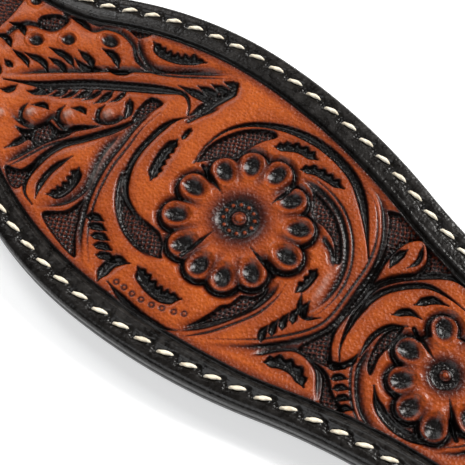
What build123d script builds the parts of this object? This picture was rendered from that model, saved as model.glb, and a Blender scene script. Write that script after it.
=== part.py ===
from build123d import *
import math
import os

# Western breast collar, laid flat with its tooled side up, in millimetres.
# X runs across the horse, Y runs up its chest, Z is the height above the surface it lies on.

# ---- shoulder pieces ----------------------------------------------------------
SCALLOPS = 3                    # bulges on each shoulder piece
BULGE_HALF = 33.0               # half width at the widest place of a scallop
NECK_HALF = 20.0                # half width between two scallops
INNER_BULGE_R = 125.0           # edge radius of a bulge on the chest side
INNER_NECK_R = 150.0            # edge radius of the hollow that follows it
OUTER_BULGE_R = 78.0            # edge radius of a bulge on the saddle side
OUTER_NECK_R = 35.0             # edge radius of the hollow that follows it
TAB_LENGTH = 30.0               # straight tab at each end of a shoulder piece
TAB_CORNER = 9.0                # rounding of the tab's corners
COVER_T = 3.8                   # tooled cover leather
LINING_T = 3.2                  # lining leather, and the chapes that lie level with it
SHOULDER_ANGLE = 39.0           # rise of a shoulder piece from the X axis, degrees

# ---- edge stitching -----------------------------------------------------------
STITCH_INSET = 3.0              # row's distance from the edge
THREAD_W = 1.0
THREAD_PROUD = 0.3              # height of the thread above the leather
THREAD_SUNK = 0.4               # depth of the row in its groove

# ---- rings and straps ---------------------------------------------------------
RING_R = 30.0                   # centre ring, to the middle of its wire
RING_WIRE = 7.0                 # diameter of its wire
CHEST_W = 22.0                  # straps folded round the centre ring, and the leg strap
TUG_W = 25.0                    # tugs, and the chapes that hold their square loops
STRAP_T = 3.2
SQUARE_WIRE = 5.0               # wire of the square loop that joins a tug to its shoulder piece
SQUARE_LENGTH = 24.0            # between the centres of its two cross bars
WIRE_CORNER = 4.5               # corner of a bent wire loop, to the middle of its wire
CHAPE_LEG = 30.0                # length of a chape that lies on or under the cover
CHAPE_SLOPE = 18.0              # length over which a chape comes down from its loop
LEG_SLOPE = 24.0                # the same for the leg strap's two folded ends

# ---- tugs and leg strap -------------------------------------------------------
TUG_NEAR = 62.0                 # from the square's outer bar to the buckle's heel bar
TUG_FAR = 74.0                  # from the heel bar to the saddle end of the tug
SADDLE_LOOP_R = 6.0             # inside radius of the tug where the saddle's dee goes
LEG_NEAR = 170.0                # from the centre ring to the leg buckle's heel bar
LEG_FAR = 190.0                 # from that heel bar to the snap's eye
BUCKLE_LENGTH = 28.0            # between the centres of heel bar and front bar
BUCKLE_WIRE = 4.0
TIP_LENGTH = 44.0               # strap end past the heel bar
BUCKLE_SLOPE = 14.0             # length over which a strap rises to its heel bar
KEEPER_T = 2.0
KEEPER_LENGTH = 9.0
KEEPER_AT = 22.0                # keeper's middle, from the heel bar
TONGUE_WIRE = 2.6
TONGUE_RING = 1.6               # wall of the tongue's ring round the heel bar
TONGUE_LIFT = 6.0               # degrees that a tongue lifts while the strap is buckled
HOLE_R = 1.9                    # adjustment holes of the leg strap
HOLE_PITCH = 25.0
LEG_HOLES = 4

# ---- screws -------------------------------------------------------------------
POST_R = 2.0
HEAD_R = 4.6
HEAD_T = 1.2
SCREW_PITCH = 13.0              # between the two screws of a chape

# ---- snap ---------------------------------------------------------------------
EYE_WIRE = 4.4
EYE_LENGTH = 17.0               # from the eye's bar to its other cross bar
BARREL_R = 5.5
BARREL_LENGTH = 46.0
NECK_R = 2.4                    # eye's neck, which turns in the barrel
NECK_HEAD_R = 3.6
NECK_HEAD_T = 3.0
CUP_WALL = 2.5                  # barrel's wall in front of that head and behind it
BOLT_R = 2.2
BOLT_TRAVEL = 14.0
BOLT_INSIDE = 12.0              # bolt's length inside the barrel when closed
HOOK_R = 12.5                   # hook's bend, to the middle of its wire
HOOK_WIRE = 5.6
STUD_R = 1.7
KNOB_R = 3.4
SPRING_WIRE = 0.6

# ---- fits ---------------------------------------------------------------------
WRAP_GAP = 0.4                  # leather folded round a straight wire
RING_GAP = 1.0                  # leather folded round the centre ring's curved wire
LAY_GAP = 0.3                   # one piece lying on another
SLIP = 0.3                      # sliding and turning metal
HOLE_GAP = 0.15                 # screw post in its hole
SIDE_ROOM = 1.3                 # from a strap's edge to a loop's wire


# ---- places that follow from the sizes -----------------------------------------

def half_period(bulge_r, neck_r):
    """Length from the widest place of a scallop to its neck, for two tangent arcs."""
    rise = bulge_r + neck_r - (BULGE_HALF - NECK_HALF)
    return math.sqrt((bulge_r + neck_r) ** 2 - rise ** 2)


INNER_HALF = half_period(INNER_BULGE_R, INNER_NECK_R)
OUTER_HALF = half_period(OUTER_BULGE_R, OUTER_NECK_R)
PERIOD = INNER_HALF + OUTER_HALF
PANEL_LENGTH = 2 * TAB_LENGTH + SCALLOPS * PERIOD
PANEL_TOP = LINING_T + COVER_T
CHAPE_TOP = PANEL_TOP + LINING_T                             # a chape's upper leg, on the cover

CHORD_SAG = RING_R - math.sqrt(RING_R ** 2 - (CHEST_W / 2) ** 2)
CHEST_LOOP_R = RING_WIRE / 2 + CHORD_SAG / 2 + RING_GAP      # inside radius round the ring
CHEST_LOOP_AT = RING_R - CHORD_SAG / 2                       # its centre, from the ring's centre
RING_Z = max(LINING_T, STRAP_T) + CHEST_LOOP_R
PANEL_START = CHEST_LOOP_AT + CHAPE_SLOPE                    # cover's chest end
PANEL_END = PANEL_START + PANEL_LENGTH

SQUARE_LOOP_R = SQUARE_WIRE / 2 + WRAP_GAP
SQUARE_IN = PANEL_END + CHAPE_SLOPE                          # square's inner cross bar
SQUARE_OUT = SQUARE_IN + SQUARE_LENGTH
SQUARE_HALF = TUG_W / 2 + SIDE_ROOM + SQUARE_WIRE / 2        # to the middle of its side bars

HEEL_LOOP_R = BUCKLE_WIRE / 2 + WRAP_GAP
HEEL_OUTER_R = HEEL_LOOP_R + STRAP_T
TUG_FLOOR = STRAP_T + LAY_GAP                                # a tug's buckle lies on its lower run
TUG_HEEL = SQUARE_OUT + TUG_NEAR
TUG_END = TUG_HEEL + TUG_FAR
LEG_START = CHEST_LOOP_AT + LEG_SLOPE                        # leg strap's folded end
LEG_HEEL = RING_R + LEG_NEAR
EYE_AT = LEG_HEEL + LEG_FAR
EYE_R = EYE_WIRE / 2 + WRAP_GAP
SNAP_Z = STRAP_T + EYE_R
BARREL_START = EYE_AT + EYE_LENGTH + EYE_WIRE / 2 + 1.2
BARREL_END = BARREL_START + BARREL_LENGTH
CUP_END = BARREL_START + 2 * CUP_WALL + NECK_HEAD_T + 2 * SLIP
HOOK_MID_Y = 4.5                                             # middle of the hook's bend, off the bolt
HOOK_MID_X = BARREL_END + HOOK_R - 1.0
BOLT_TIP = HOOK_MID_X + 8.0


# ---- small makers --------------------------------------------------------------

def side_strip(edges, width, thickness=STRAP_T):
    """A strap drawn by its side view: the line through the middle of its leather, in XZ."""
    profile = Plane.XZ * trace(Wire(edges), line_width=thickness)
    return extrude(profile, width / 2, both=True)


def run(*points):
    return [Line(a, b) for a, b in zip(points, points[1:])]


def fold(centre, radius, start, turn):
    return [CenterArc(centre, radius, start, turn).edge()]


def wire_frame(start, end, half_width, wire, corner):
    """A closed loop of round wire whose two cross bars pass through start and end, in XZ."""
    length = math.dist(start, end)
    tilt = math.degrees(math.atan2(end[1] - start[1], end[0] - start[0]))
    outline = RectangleRounded(length, 2 * half_width, corner).wire()
    section = Plane(origin=outline @ 0, z_dir=outline % 0) * Circle(wire / 2)
    loop = sweep(section, path=outline)
    return Pos((start[0] + end[0]) / 2, 0, (start[1] + end[1]) / 2) * Rot(0, -tilt, 0) * loop


def block(x0, x1, width, z0, z1):
    return Pos((x0 + x1) / 2, 0, (z0 + z1) / 2) * Box(x1 - x0, width, z1 - z0)


# ---- shoulder piece, lying along +X from the centre ring -------------------------

def scallop_edge(inset):
    """Upper edge from tab end to tab end, as tangent arcs, drawn inset from the cut edge."""
    bulge_in, neck_in = INNER_BULGE_R - inset, INNER_NECK_R + inset
    bulge_out, neck_out = OUTER_BULGE_R - inset, OUTER_NECK_R + inset
    rise_in = math.degrees(math.asin(INNER_HALF / (INNER_BULGE_R + INNER_NECK_R)))
    rise_out = math.degrees(math.asin(OUTER_HALF / (OUTER_BULGE_R + OUTER_NECK_R)))
    y = NECK_HALF - inset
    neck_x = PANEL_START + TAB_LENGTH
    edges = [Line((PANEL_START + inset, y), (neck_x, y))]
    for _ in range(SCALLOPS):
        peak_x = neck_x + INNER_HALF
        edges += fold((neck_x, NECK_HALF + INNER_NECK_R), neck_in, 270, rise_in)
        edges += fold((peak_x, BULGE_HALF - INNER_BULGE_R), bulge_in, 90 + rise_in, -rise_in)
        neck_x = peak_x + OUTER_HALF
        edges += fold((peak_x, BULGE_HALF - OUTER_BULGE_R), bulge_out, 90, -rise_out)
        edges += fold((neck_x, NECK_HALF + OUTER_NECK_R), neck_out, 270 - rise_out, rise_out)
    edges.append(Line((neck_x, y), (PANEL_END - inset, y)))
    return edges


def panel_face(inset=0.0):
    upper = scallop_edge(inset)
    lower = [edge.mirror(Plane.XZ) for edge in upper]
    y = NECK_HALF - inset
    ends = [Line((x, -y), (x, y)) for x in (PANEL_START + inset, PANEL_END - inset)]
    face = make_face(upper + lower + ends)
    low, high = PANEL_START + inset, PANEL_END - inset
    corners = [v for v in face.vertices() if min(abs(v.X - low), abs(v.X - high)) < 1e-3]
    return fillet(corners, TAB_CORNER - inset)


def screw_places(start, sign):
    """Middles of a chape's two screws, inwards from where its legs begin."""
    first = start + sign * (CHAPE_LEG - SCREW_PITCH) / 2
    return [first, first + sign * SCREW_PITCH]


def screw_cuts(start, sign, top):
    """Holes and foot recesses of a pair of screws, through everything up to top."""
    cuts = []
    for x in screw_places(start, sign):
        cuts.append(Pos(x, 0, top / 2) * Cylinder(POST_R + HOLE_GAP, top + 2))
        cuts.append(Pos(x, 0, (HEAD_T + HOLE_GAP) / 2) * Cylinder(HEAD_R + HOLE_GAP, HEAD_T + HOLE_GAP))
    return cuts


def screws(start, sign, top):
    """A pair of two-part screws: a foot let into the underside, a post and a domed head."""
    solids = []
    for x in screw_places(start, sign):
        post = Pos(x, 0, top / 2) * Cylinder(POST_R, top)
        foot = Pos(x, 0, HEAD_T / 2) * Cylinder(HEAD_R, HEAD_T)
        disc = Cylinder(HEAD_R, HEAD_T)
        head = Pos(x, 0, top + HEAD_T / 2) * fillet(disc.edges().sort_by(Axis.Z)[-1], 0.8)
        solids.append(post + foot + head)
    return solids


def cover_and_thread():
    face = panel_face()
    cover = Pos(0, 0, LINING_T) * extrude(face, COVER_T)
    row = panel_face(STITCH_INSET - THREAD_W / 2) - panel_face(STITCH_INSET + THREAD_W / 2)
    thread = Pos(0, 0, PANEL_TOP - THREAD_SUNK) * extrude(row, THREAD_SUNK + THREAD_PROUD)
    groove = Pos(0, 0, PANEL_TOP - THREAD_SUNK) * extrude(row, THREAD_SUNK)
    reach = CHAPE_LEG + 1.0
    thread -= block(PANEL_START - 1, PANEL_START + reach, CHEST_W + 2, 0, CHAPE_TOP)
    thread -= block(PANEL_END - reach, PANEL_END + 1, TUG_W + 2, 0, CHAPE_TOP)
    cover = cover - groove
    for start, sign in ((PANEL_START, 1), (PANEL_END, -1)):
        cover = cover - screw_cuts(start, sign, CHAPE_TOP)[::2]
    return cover, thread


def lining():
    body = extrude(panel_face(), LINING_T)
    reach = CHAPE_LEG + LAY_GAP
    chest = block(PANEL_START - 1, PANEL_START + reach, CHEST_W + 2 * LAY_GAP, -1, LINING_T + 1)
    outer = block(PANEL_END - reach, PANEL_END + 1, TUG_W + 2 * LAY_GAP, -1, LINING_T + 1)
    return body - chest - outer


def chape(loop_x, loop_z, loop_r, start, width):
    """A strap folded round a bar at (loop_x, loop_z), one leg under the cover and one on it."""
    sign = 1 if start > loop_x else -1
    middle = loop_r + LINING_T / 2
    low, high = LINING_T / 2, CHAPE_TOP - LINING_T / 2
    edges = run((start + sign * CHAPE_LEG, low), (start, low), (loop_x, loop_z - middle))
    edges += fold((loop_x, loop_z), middle, 270, -180 * sign)
    edges += run((loop_x, loop_z + middle), (start, high), (start + sign * CHAPE_LEG, high))
    body = side_strip(edges, width, LINING_T)
    return body - screw_cuts(start, sign, CHAPE_TOP)


def square_loop():
    inner = (SQUARE_IN, LINING_T + SQUARE_LOOP_R)
    outer = (SQUARE_OUT, STRAP_T + SQUARE_LOOP_R)
    return wire_frame(inner, outer, SQUARE_HALF, SQUARE_WIRE, WIRE_CORNER)


# ---- buckle, shared by the tugs and the leg strap --------------------------------
# A strap comes from -X, folds round the heel bar and lies back under itself. The strap end
# from +X passes under the front bar, over the heel bar and through the keeper.

def heel_z(floor):
    return floor + HEEL_OUTER_R


def strap_end_z(floor):
    """Middle height of the strap end where it passes over the heel bar."""
    return floor + 2 * HEEL_OUTER_R + LAY_GAP + STRAP_T / 2


def front_z(floor):
    return strap_end_z(floor) + STRAP_T / 2 + LAY_GAP + BUCKLE_WIRE / 2


def heel_fold(x, floor):
    """From the end that lies back under the strap, round the heel bar, to the strap's top."""
    low = floor + STRAP_T / 2
    edges = run((x - BUCKLE_SLOPE, low), (x, low))
    return edges + fold((x, heel_z(floor)), HEEL_LOOP_R + STRAP_T / 2, 270, 180)


def near_points(x, floor):
    """The strap's middle line from the heel bar's top back to where it lies on its fold."""
    top = floor + 2 * HEEL_OUTER_R - STRAP_T / 2
    return [(x, top), (x - BUCKLE_SLOPE, floor + 1.5 * STRAP_T + LAY_GAP)]


def end_points(x, floor):
    """The strap end's middle line, from past the front bar to its tip on the strap."""
    lying = floor + 2.5 * STRAP_T + 2 * LAY_GAP
    top = strap_end_z(floor)
    past = x + BUCKLE_LENGTH + BUCKLE_WIRE
    return [(past, top), (x, top), (x - BUCKLE_SLOPE, lying), (x - TIP_LENGTH, lying)]


def tip_cut(x, width, floor):
    """What comes off the strap end's corners to leave a round tip."""
    start = x - TIP_LENGTH
    z0, z1 = floor + 2 * STRAP_T + 1.5 * LAY_GAP, floor + 4 * STRAP_T
    corner = block(start - 1, start + width / 2, width + 2, z0, z1)
    return corner - Pos(start + width / 2, 0, (z0 + z1) / 2) * Cylinder(width / 2, z1 - z0)


def tongue_line(floor):
    """Slope of the tongue in degrees, lying on the front bar, and its length to that bar."""
    rise = front_z(floor) - heel_z(floor)
    between = math.hypot(rise, BUCKLE_LENGTH)
    above = BUCKLE_WIRE / 2 + TONGUE_WIRE / 2 + SLIP
    return math.degrees(math.atan2(rise, BUCKLE_LENGTH) + math.asin(above / between)), between


def buckle_frame(x, floor, width):
    end = (x + BUCKLE_LENGTH, front_z(floor))
    half = width / 2 + SIDE_ROOM + BUCKLE_WIRE / 2
    return wire_frame((x, heel_z(floor)), end, half, BUCKLE_WIRE, WIRE_CORNER)


def buckle_tongue(x, floor):
    angle, length = tongue_line(floor)
    ring_r = BUCKLE_WIRE / 2 + SLIP
    reach = length + BUCKLE_WIRE / 2 + TONGUE_WIRE
    root = ring_r + TONGUE_RING / 2
    ring = Rot(90, 0, 0) * (Cylinder(ring_r + TONGUE_RING, TONGUE_WIRE) - Cylinder(ring_r, TONGUE_WIRE))
    shank = Cylinder(TONGUE_WIRE / 2, reach - root)
    shank = fillet(shank.edges().sort_by(Axis.Z)[-1], TONGUE_WIRE * 0.4)
    shank = Pos((root + reach) / 2, 0, 0) * Rot(0, 90, 0) * shank
    return Pos(x, 0, heel_z(floor)) * Rot(0, -angle, 0) * (ring + shank)


def tongue_room(x, floor):
    """Notch in the heel fold, and slot through the strap end, for the tongue over its lift."""
    width = TONGUE_WIRE + 2 * SLIP
    fold_top = floor + 2 * HEEL_OUTER_R
    notch = block(x - HEEL_OUTER_R - 1, x + HEEL_OUTER_R + 1, width, floor - 0.1, fold_top + 0.1)
    angle, _ = tongue_line(floor)
    top = strap_end_z(floor) + STRAP_T / 2 - heel_z(floor)
    margin = (TONGUE_WIRE / 2 + SLIP) / math.sin(math.radians(angle))
    near = (top - STRAP_T) / math.tan(math.radians(angle + TONGUE_LIFT)) - margin
    far = top / math.tan(math.radians(angle)) + margin
    z0 = fold_top + LAY_GAP / 2
    return notch, block(x + near, x + far, width, z0, z0 + STRAP_T + LAY_GAP)


def keeper(x, floor, width):
    """A leather loop round the strap and its end."""
    z0 = floor + STRAP_T
    z1 = floor + 3 * STRAP_T + 3 * LAY_GAP
    x0, x1 = x - KEEPER_AT - KEEPER_LENGTH / 2, x - KEEPER_AT + KEEPER_LENGTH / 2
    room = width + 2 * LAY_GAP
    outer = block(x0, x1, room + 2 * KEEPER_T, z0 - KEEPER_T, z1 + KEEPER_T)
    return outer - block(x0 - 1, x1 + 1, room, z0, z1)


# ---- tug: one strap from its buckle round the square loop, out to the saddle and back --

def tug_strap():
    heel = TUG_HEEL
    near_z = STRAP_T + SQUARE_LOOP_R
    near_r = SQUARE_LOOP_R + STRAP_T / 2
    far_z = STRAP_T + SADDLE_LOOP_R
    far_r = SADDLE_LOOP_R + STRAP_T / 2
    edges = heel_fold(heel, TUG_FLOOR)
    near = near_points(heel, TUG_FLOOR)
    edges += run(*near, (heel - TIP_LENGTH - STRAP_T, near[-1][1]), (SQUARE_OUT, near_z + near_r))
    edges += fold((SQUARE_OUT, near_z), near_r, 90, 180)
    edges += run((SQUARE_OUT, STRAP_T / 2), (TUG_END, STRAP_T / 2))
    edges += fold((TUG_END, far_z), far_r, 270, 180)
    edges += run((TUG_END, far_z + far_r), *end_points(heel, TUG_FLOOR))
    body = side_strip(edges, TUG_W)
    for cut in tongue_room(heel, TUG_FLOOR):
        body -= cut
    return body - tip_cut(heel, TUG_W, TUG_FLOOR)


# ---- leg strap, lying along +X from the centre ring ------------------------------

LEG_FOLD_TOP = 2 * STRAP_T + LAY_GAP


def leg_strap():
    low, high = STRAP_T / 2, LEG_FOLD_TOP - STRAP_T / 2
    ring_r = CHEST_LOOP_R + STRAP_T / 2
    edges = run((LEG_START + CHAPE_LEG, high), (LEG_START, high), (CHEST_LOOP_AT, RING_Z + ring_r))
    edges += fold((CHEST_LOOP_AT, RING_Z), ring_r, 90, 180)
    near = near_points(LEG_HEEL, 0)
    level = near[-1][1]
    tip = LEG_HEEL - TIP_LENGTH
    edges += run((CHEST_LOOP_AT, RING_Z - ring_r), (LEG_START, low), (tip - LEG_SLOPE, low))
    edges += run((tip - LEG_SLOPE, low), (tip, level), near[1], near[0])
    edges += reversed(heel_fold(LEG_HEEL, 0))
    body = side_strip(edges, CHEST_W)
    return body - screw_cuts(LEG_START, 1, LEG_FOLD_TOP) - tongue_room(LEG_HEEL, 0)[0]


def leg_billet():
    low, high = STRAP_T / 2, LEG_FOLD_TOP - STRAP_T / 2
    eye_r = EYE_R + STRAP_T / 2
    back = EYE_AT - LEG_SLOPE
    edges = run((back - CHAPE_LEG, high), (back, high), (EYE_AT, SNAP_Z + eye_r))
    edges += fold((EYE_AT, SNAP_Z), eye_r, 90, -180)
    past = end_points(LEG_HEEL, 0)
    edges += run((EYE_AT, low), (past[0][0] + LEG_SLOPE, low), *past)
    body = side_strip(edges, CHEST_W)
    body = body - screw_cuts(back, -1, LEG_FOLD_TOP) - tongue_room(LEG_HEEL, 0)[1]
    for i in range(LEG_HOLES):
        x = past[0][0] + LEG_SLOPE + HOLE_PITCH * (i + 0.4)
        body -= Pos(x, 0, low) * Cylinder(HOLE_R, STRAP_T + 1)
    return body - tip_cut(LEG_HEEL, CHEST_W, 0)


# ---- snap -------------------------------------------------------------------------

def along(x0, x1, radius):
    """A round bar on the snap's own line."""
    return Pos((x0 + x1) / 2, 0, SNAP_Z) * Rot(0, 90, 0) * Cylinder(radius, x1 - x0)


def snap_eye():
    half = CHEST_W / 2 + SIDE_ROOM + EYE_WIRE / 2
    far = EYE_AT + EYE_LENGTH
    loop = wire_frame((EYE_AT, SNAP_Z), (far, SNAP_Z), half, EYE_WIRE, WIRE_CORNER)
    head = BARREL_START + CUP_WALL + SLIP
    return loop + along(far, head + 0.5, NECK_R) + along(head, head + NECK_HEAD_T, NECK_HEAD_R)


def bolt_path():
    return along(CUP_END, BOLT_TIP + SLIP, BOLT_R + SLIP)


def stud_x():
    return BARREL_END - BOLT_INSIDE + STUD_R + 1.0


def snap_hook():
    barrel = along(BARREL_START, BARREL_END, BARREL_R)
    middle = (HOOK_MID_X, HOOK_MID_Y)
    bend = CenterArc(middle, HOOK_R, 185, -213).edge()
    section = Plane(origin=bend @ 0, z_dir=bend % 0) * Circle(HOOK_WIRE / 2)
    hook = sweep(section, path=bend) + Pos(*(bend @ 1)) * Sphere(HOOK_WIRE / 2)
    body = barrel + Pos(0, 0, SNAP_Z) * hook
    head = BARREL_START + CUP_WALL
    body -= along(BARREL_START - 1, head + 1, NECK_R + SLIP)
    body -= along(head, head + NECK_HEAD_T + 2 * SLIP, NECK_HEAD_R + SLIP)
    body -= bolt_path()
    end = stud_x() + STUD_R + SLIP
    start = stud_x() - BOLT_TRAVEL - STUD_R - SLIP
    return body - block(start, end, 2 * (STUD_R + SLIP), SNAP_Z, SNAP_Z + BARREL_R + 1)


def snap_bolt():
    rod = along(BARREL_END - BOLT_INSIDE, BOLT_TIP, BOLT_R)
    stud_top = SNAP_Z + BARREL_R + 1.0
    stud = Pos(stud_x(), 0, (SNAP_Z + stud_top) / 2) * Cylinder(STUD_R, stud_top - SNAP_Z)
    disc = Cylinder(KNOB_R, 2.4)
    knob = Pos(stud_x(), 0, stud_top + 0.8) * fillet(disc.edges().sort_by(Axis.Z)[-1], 1.0)
    return rod + stud + knob


def snap_spring():
    """The spring that pushes the bolt out, as a sleeve of its outer and inner size."""
    x0, x1 = CUP_END + LAY_GAP, BARREL_END - BOLT_INSIDE - LAY_GAP
    return along(x0, x1, BOLT_R) - along(x0 - 1, x1 + 1, BOLT_R - SPRING_WIRE)


# ---- assembly ----------------------------------------------------------------------

def shoulder_side():
    """Everything on one side, along +X from the centre ring."""
    cover, thread = cover_and_thread()
    return {
        "tooled_cover": cover,
        "edge_stitching": thread,
        "lining": lining(),
        "chest_chape": chape(CHEST_LOOP_AT, RING_Z, CHEST_LOOP_R, PANEL_START, CHEST_W),
        "tug_chape": chape(SQUARE_IN, LINING_T + SQUARE_LOOP_R, SQUARE_LOOP_R, PANEL_END, TUG_W),
        "screws": screws(PANEL_START, 1, CHAPE_TOP) + screws(PANEL_END, -1, CHAPE_TOP),
        "square_loop": square_loop(),
        "tug_strap": tug_strap(),
        "tug_buckle": buckle_frame(TUG_HEEL, TUG_FLOOR, TUG_W),
        "tug_tongue": buckle_tongue(TUG_HEEL, TUG_FLOOR),
        "tug_keeper": keeper(TUG_HEEL, TUG_FLOOR, TUG_W),
    }


def leg_parts():
    back = EYE_AT - LEG_SLOPE
    return {
        "leg_strap": leg_strap(),
        "leg_billet": leg_billet(),
        "leg_screws": screws(LEG_START, 1, LEG_FOLD_TOP) + screws(back, -1, LEG_FOLD_TOP),
        "leg_buckle": buckle_frame(LEG_HEEL, 0, CHEST_W),
        "leg_tongue": buckle_tongue(LEG_HEEL, 0),
        "leg_keeper": keeper(LEG_HEEL, 0, CHEST_W),
        "snap_eye": snap_eye(),
        "snap_hook": snap_hook(),
        "snap_bolt": snap_bolt(),
        "snap_spring": snap_spring(),
    }


def solids_of(shape):
    items = shape if isinstance(shape, list) else [shape]
    return [solid for item in items for solid in item.solids()]


# The centre ring's middle, chosen so that the origin is under the middle of the whole footprint.
RIGHT_TURN = Rot(0, 0, 180 - SHOULDER_ANGLE)
LEG_TURN = Rot(0, 0, -90)


def assemble():
    """Every node's solids, about the centre ring's middle."""
    nodes = {"centre_ring": solids_of(Pos(0, 0, RING_Z) * Torus(RING_R, RING_WIRE / 2))}
    for name, shape in shoulder_side().items():
        right = [RIGHT_TURN * solid for solid in solids_of(shape)]
        nodes["right_" + name] = right
        nodes["left_" + name] = [solid.mirror(Plane.YZ) for solid in right]
    for name, shape in leg_parts().items():
        nodes[name] = [LEG_TURN * solid for solid in solids_of(shape)]
    return nodes


def footprint_middle(nodes):
    boxes = [solid.bounding_box() for solids in nodes.values() for solid in solids]
    low = min(box.min.Y for box in boxes)
    high = max(box.max.Y for box in boxes)
    return (low + high) / 2


NODES = assemble()
RING_Y = -footprint_middle(NODES)      # centre ring's place, up from the footprint's middle

os.makedirs("parts", exist_ok=True)
for node_name, node_solids in NODES.items():
    placed = [Pos(0, RING_Y, 0) * solid for solid in node_solids]
    export_step(Compound(placed), f"parts/{node_name}.step")
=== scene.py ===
import functools
import math

import bmesh
import bpy
import numpy as np
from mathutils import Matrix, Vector


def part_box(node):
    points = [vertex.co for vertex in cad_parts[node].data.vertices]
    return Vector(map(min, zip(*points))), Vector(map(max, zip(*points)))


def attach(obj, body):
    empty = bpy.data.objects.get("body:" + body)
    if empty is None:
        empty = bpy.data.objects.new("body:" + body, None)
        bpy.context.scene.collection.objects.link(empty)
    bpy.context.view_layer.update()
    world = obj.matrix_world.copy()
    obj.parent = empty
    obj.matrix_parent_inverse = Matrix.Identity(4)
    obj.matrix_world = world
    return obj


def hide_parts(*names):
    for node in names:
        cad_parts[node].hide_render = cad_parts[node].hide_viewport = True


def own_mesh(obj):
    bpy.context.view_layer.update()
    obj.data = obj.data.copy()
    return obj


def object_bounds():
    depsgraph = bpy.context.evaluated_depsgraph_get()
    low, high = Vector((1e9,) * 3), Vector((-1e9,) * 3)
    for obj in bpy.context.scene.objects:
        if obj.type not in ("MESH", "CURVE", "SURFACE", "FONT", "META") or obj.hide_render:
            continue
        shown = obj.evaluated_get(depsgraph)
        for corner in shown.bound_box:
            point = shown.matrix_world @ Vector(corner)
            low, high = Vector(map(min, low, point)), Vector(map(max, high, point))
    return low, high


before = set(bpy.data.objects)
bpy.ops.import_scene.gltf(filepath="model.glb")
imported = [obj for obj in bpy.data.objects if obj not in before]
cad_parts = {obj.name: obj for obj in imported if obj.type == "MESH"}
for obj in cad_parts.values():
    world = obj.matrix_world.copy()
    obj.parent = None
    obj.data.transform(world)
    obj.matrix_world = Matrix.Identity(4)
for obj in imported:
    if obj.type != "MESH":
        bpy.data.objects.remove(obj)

CAD_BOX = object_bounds()
MM = 0.001

# ---- sizes shared with the design, in millimetres ------------------------------
SCALLOPS = 3
BULGE_HALF, NECK_HALF = 33.0, 20.0
INNER_BULGE_R, INNER_NECK_R = 125.0, 150.0
OUTER_BULGE_R, OUTER_NECK_R = 78.0, 35.0
TAB_LENGTH, TAB_CORNER = 30.0, 9.0
COVER_T, LINING_T, STRAP_T = 3.8, 3.2, 3.2
PANEL_TOP = COVER_T + LINING_T
SHOULDER_ANGLE = 39.0
RING_R, RING_WIRE = 30.0, 7.0
CHEST_W, TUG_W = 22.0, 25.0
SQUARE_WIRE, SQUARE_LENGTH = 5.0, 24.0
CHAPE_LEG, CHAPE_SLOPE, LEG_SLOPE = 30.0, 18.0, 24.0
TUG_NEAR, TUG_FAR, SADDLE_LOOP_R = 62.0, 74.0, 6.0
LEG_NEAR, LEG_FAR = 170.0, 190.0
BUCKLE_LENGTH, BUCKLE_WIRE, BUCKLE_SLOPE = 28.0, 4.0, 14.0
TIP_LENGTH = 44.0
KEEPER_T, KEEPER_LENGTH, KEEPER_AT = 2.0, 9.0, 22.0
TONGUE_WIRE, TONGUE_LIFT = 2.6, 6.0
HOLE_R, HOLE_PITCH, LEG_HOLES = 1.9, 25.0, 4
EYE_WIRE = 4.4
WRAP_GAP, RING_GAP, LAY_GAP, SLIP = 0.4, 1.0, 0.3, 0.3
STITCH_INSET = 3.0


def half_period(bulge_r, neck_r):
    rise = bulge_r + neck_r - (BULGE_HALF - NECK_HALF)
    return math.sqrt((bulge_r + neck_r) ** 2 - rise ** 2)


INNER_HALF = half_period(INNER_BULGE_R, INNER_NECK_R)
OUTER_HALF = half_period(OUTER_BULGE_R, OUTER_NECK_R)
PERIOD = INNER_HALF + OUTER_HALF
CHORD_SAG = RING_R - math.sqrt(RING_R ** 2 - (CHEST_W / 2) ** 2)
CHEST_LOOP_R = RING_WIRE / 2 + CHORD_SAG / 2 + RING_GAP
CHEST_LOOP_AT = RING_R - CHORD_SAG / 2
PANEL_START = CHEST_LOOP_AT + CHAPE_SLOPE
PANEL_END = PANEL_START + 2 * TAB_LENGTH + SCALLOPS * PERIOD
CHAPE_TOP = PANEL_TOP + LINING_T
SQUARE_LOOP_R = SQUARE_WIRE / 2 + WRAP_GAP
SQUARE_IN = PANEL_END + CHAPE_SLOPE
SQUARE_OUT = SQUARE_IN + SQUARE_LENGTH
HEEL_LOOP_R = BUCKLE_WIRE / 2 + WRAP_GAP
HEEL_OUTER_R = HEEL_LOOP_R + STRAP_T
TUG_FLOOR = STRAP_T + LAY_GAP
TUG_HEEL = SQUARE_OUT + TUG_NEAR
TUG_END = TUG_HEEL + TUG_FAR
LEG_START = CHEST_LOOP_AT + LEG_SLOPE
LEG_HEEL = RING_R + LEG_NEAR
EYE_AT = LEG_HEEL + LEG_FAR
EYE_R = EYE_WIRE / 2 + WRAP_GAP
SNAP_Z = STRAP_T + EYE_R

RING_LOW, RING_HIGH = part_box("centre_ring")
RING_MIDDLE = (Vector(RING_LOW) + Vector(RING_HIGH)) / 2
RING_Z = RING_MIDDLE.z / MM

# ---- places on one scallop ------------------------------------------------------
# A scallop's own frame has its big flower at x = 0, +x towards the centre ring and +y towards
# the horse's neck. The widest place of the scallop is PEAK_X away from the flower.
PEAK_X = -13.0
FIELD_TOP, FIELD_BOTTOM = 7.3, 6.3        # border's width above and below the tooled field


def flower_at(index):
    """Place of a scallop's flower along the shoulder piece, from the centre ring."""
    return PANEL_START + TAB_LENGTH + index * PERIOD + INNER_HALF + PEAK_X


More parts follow.
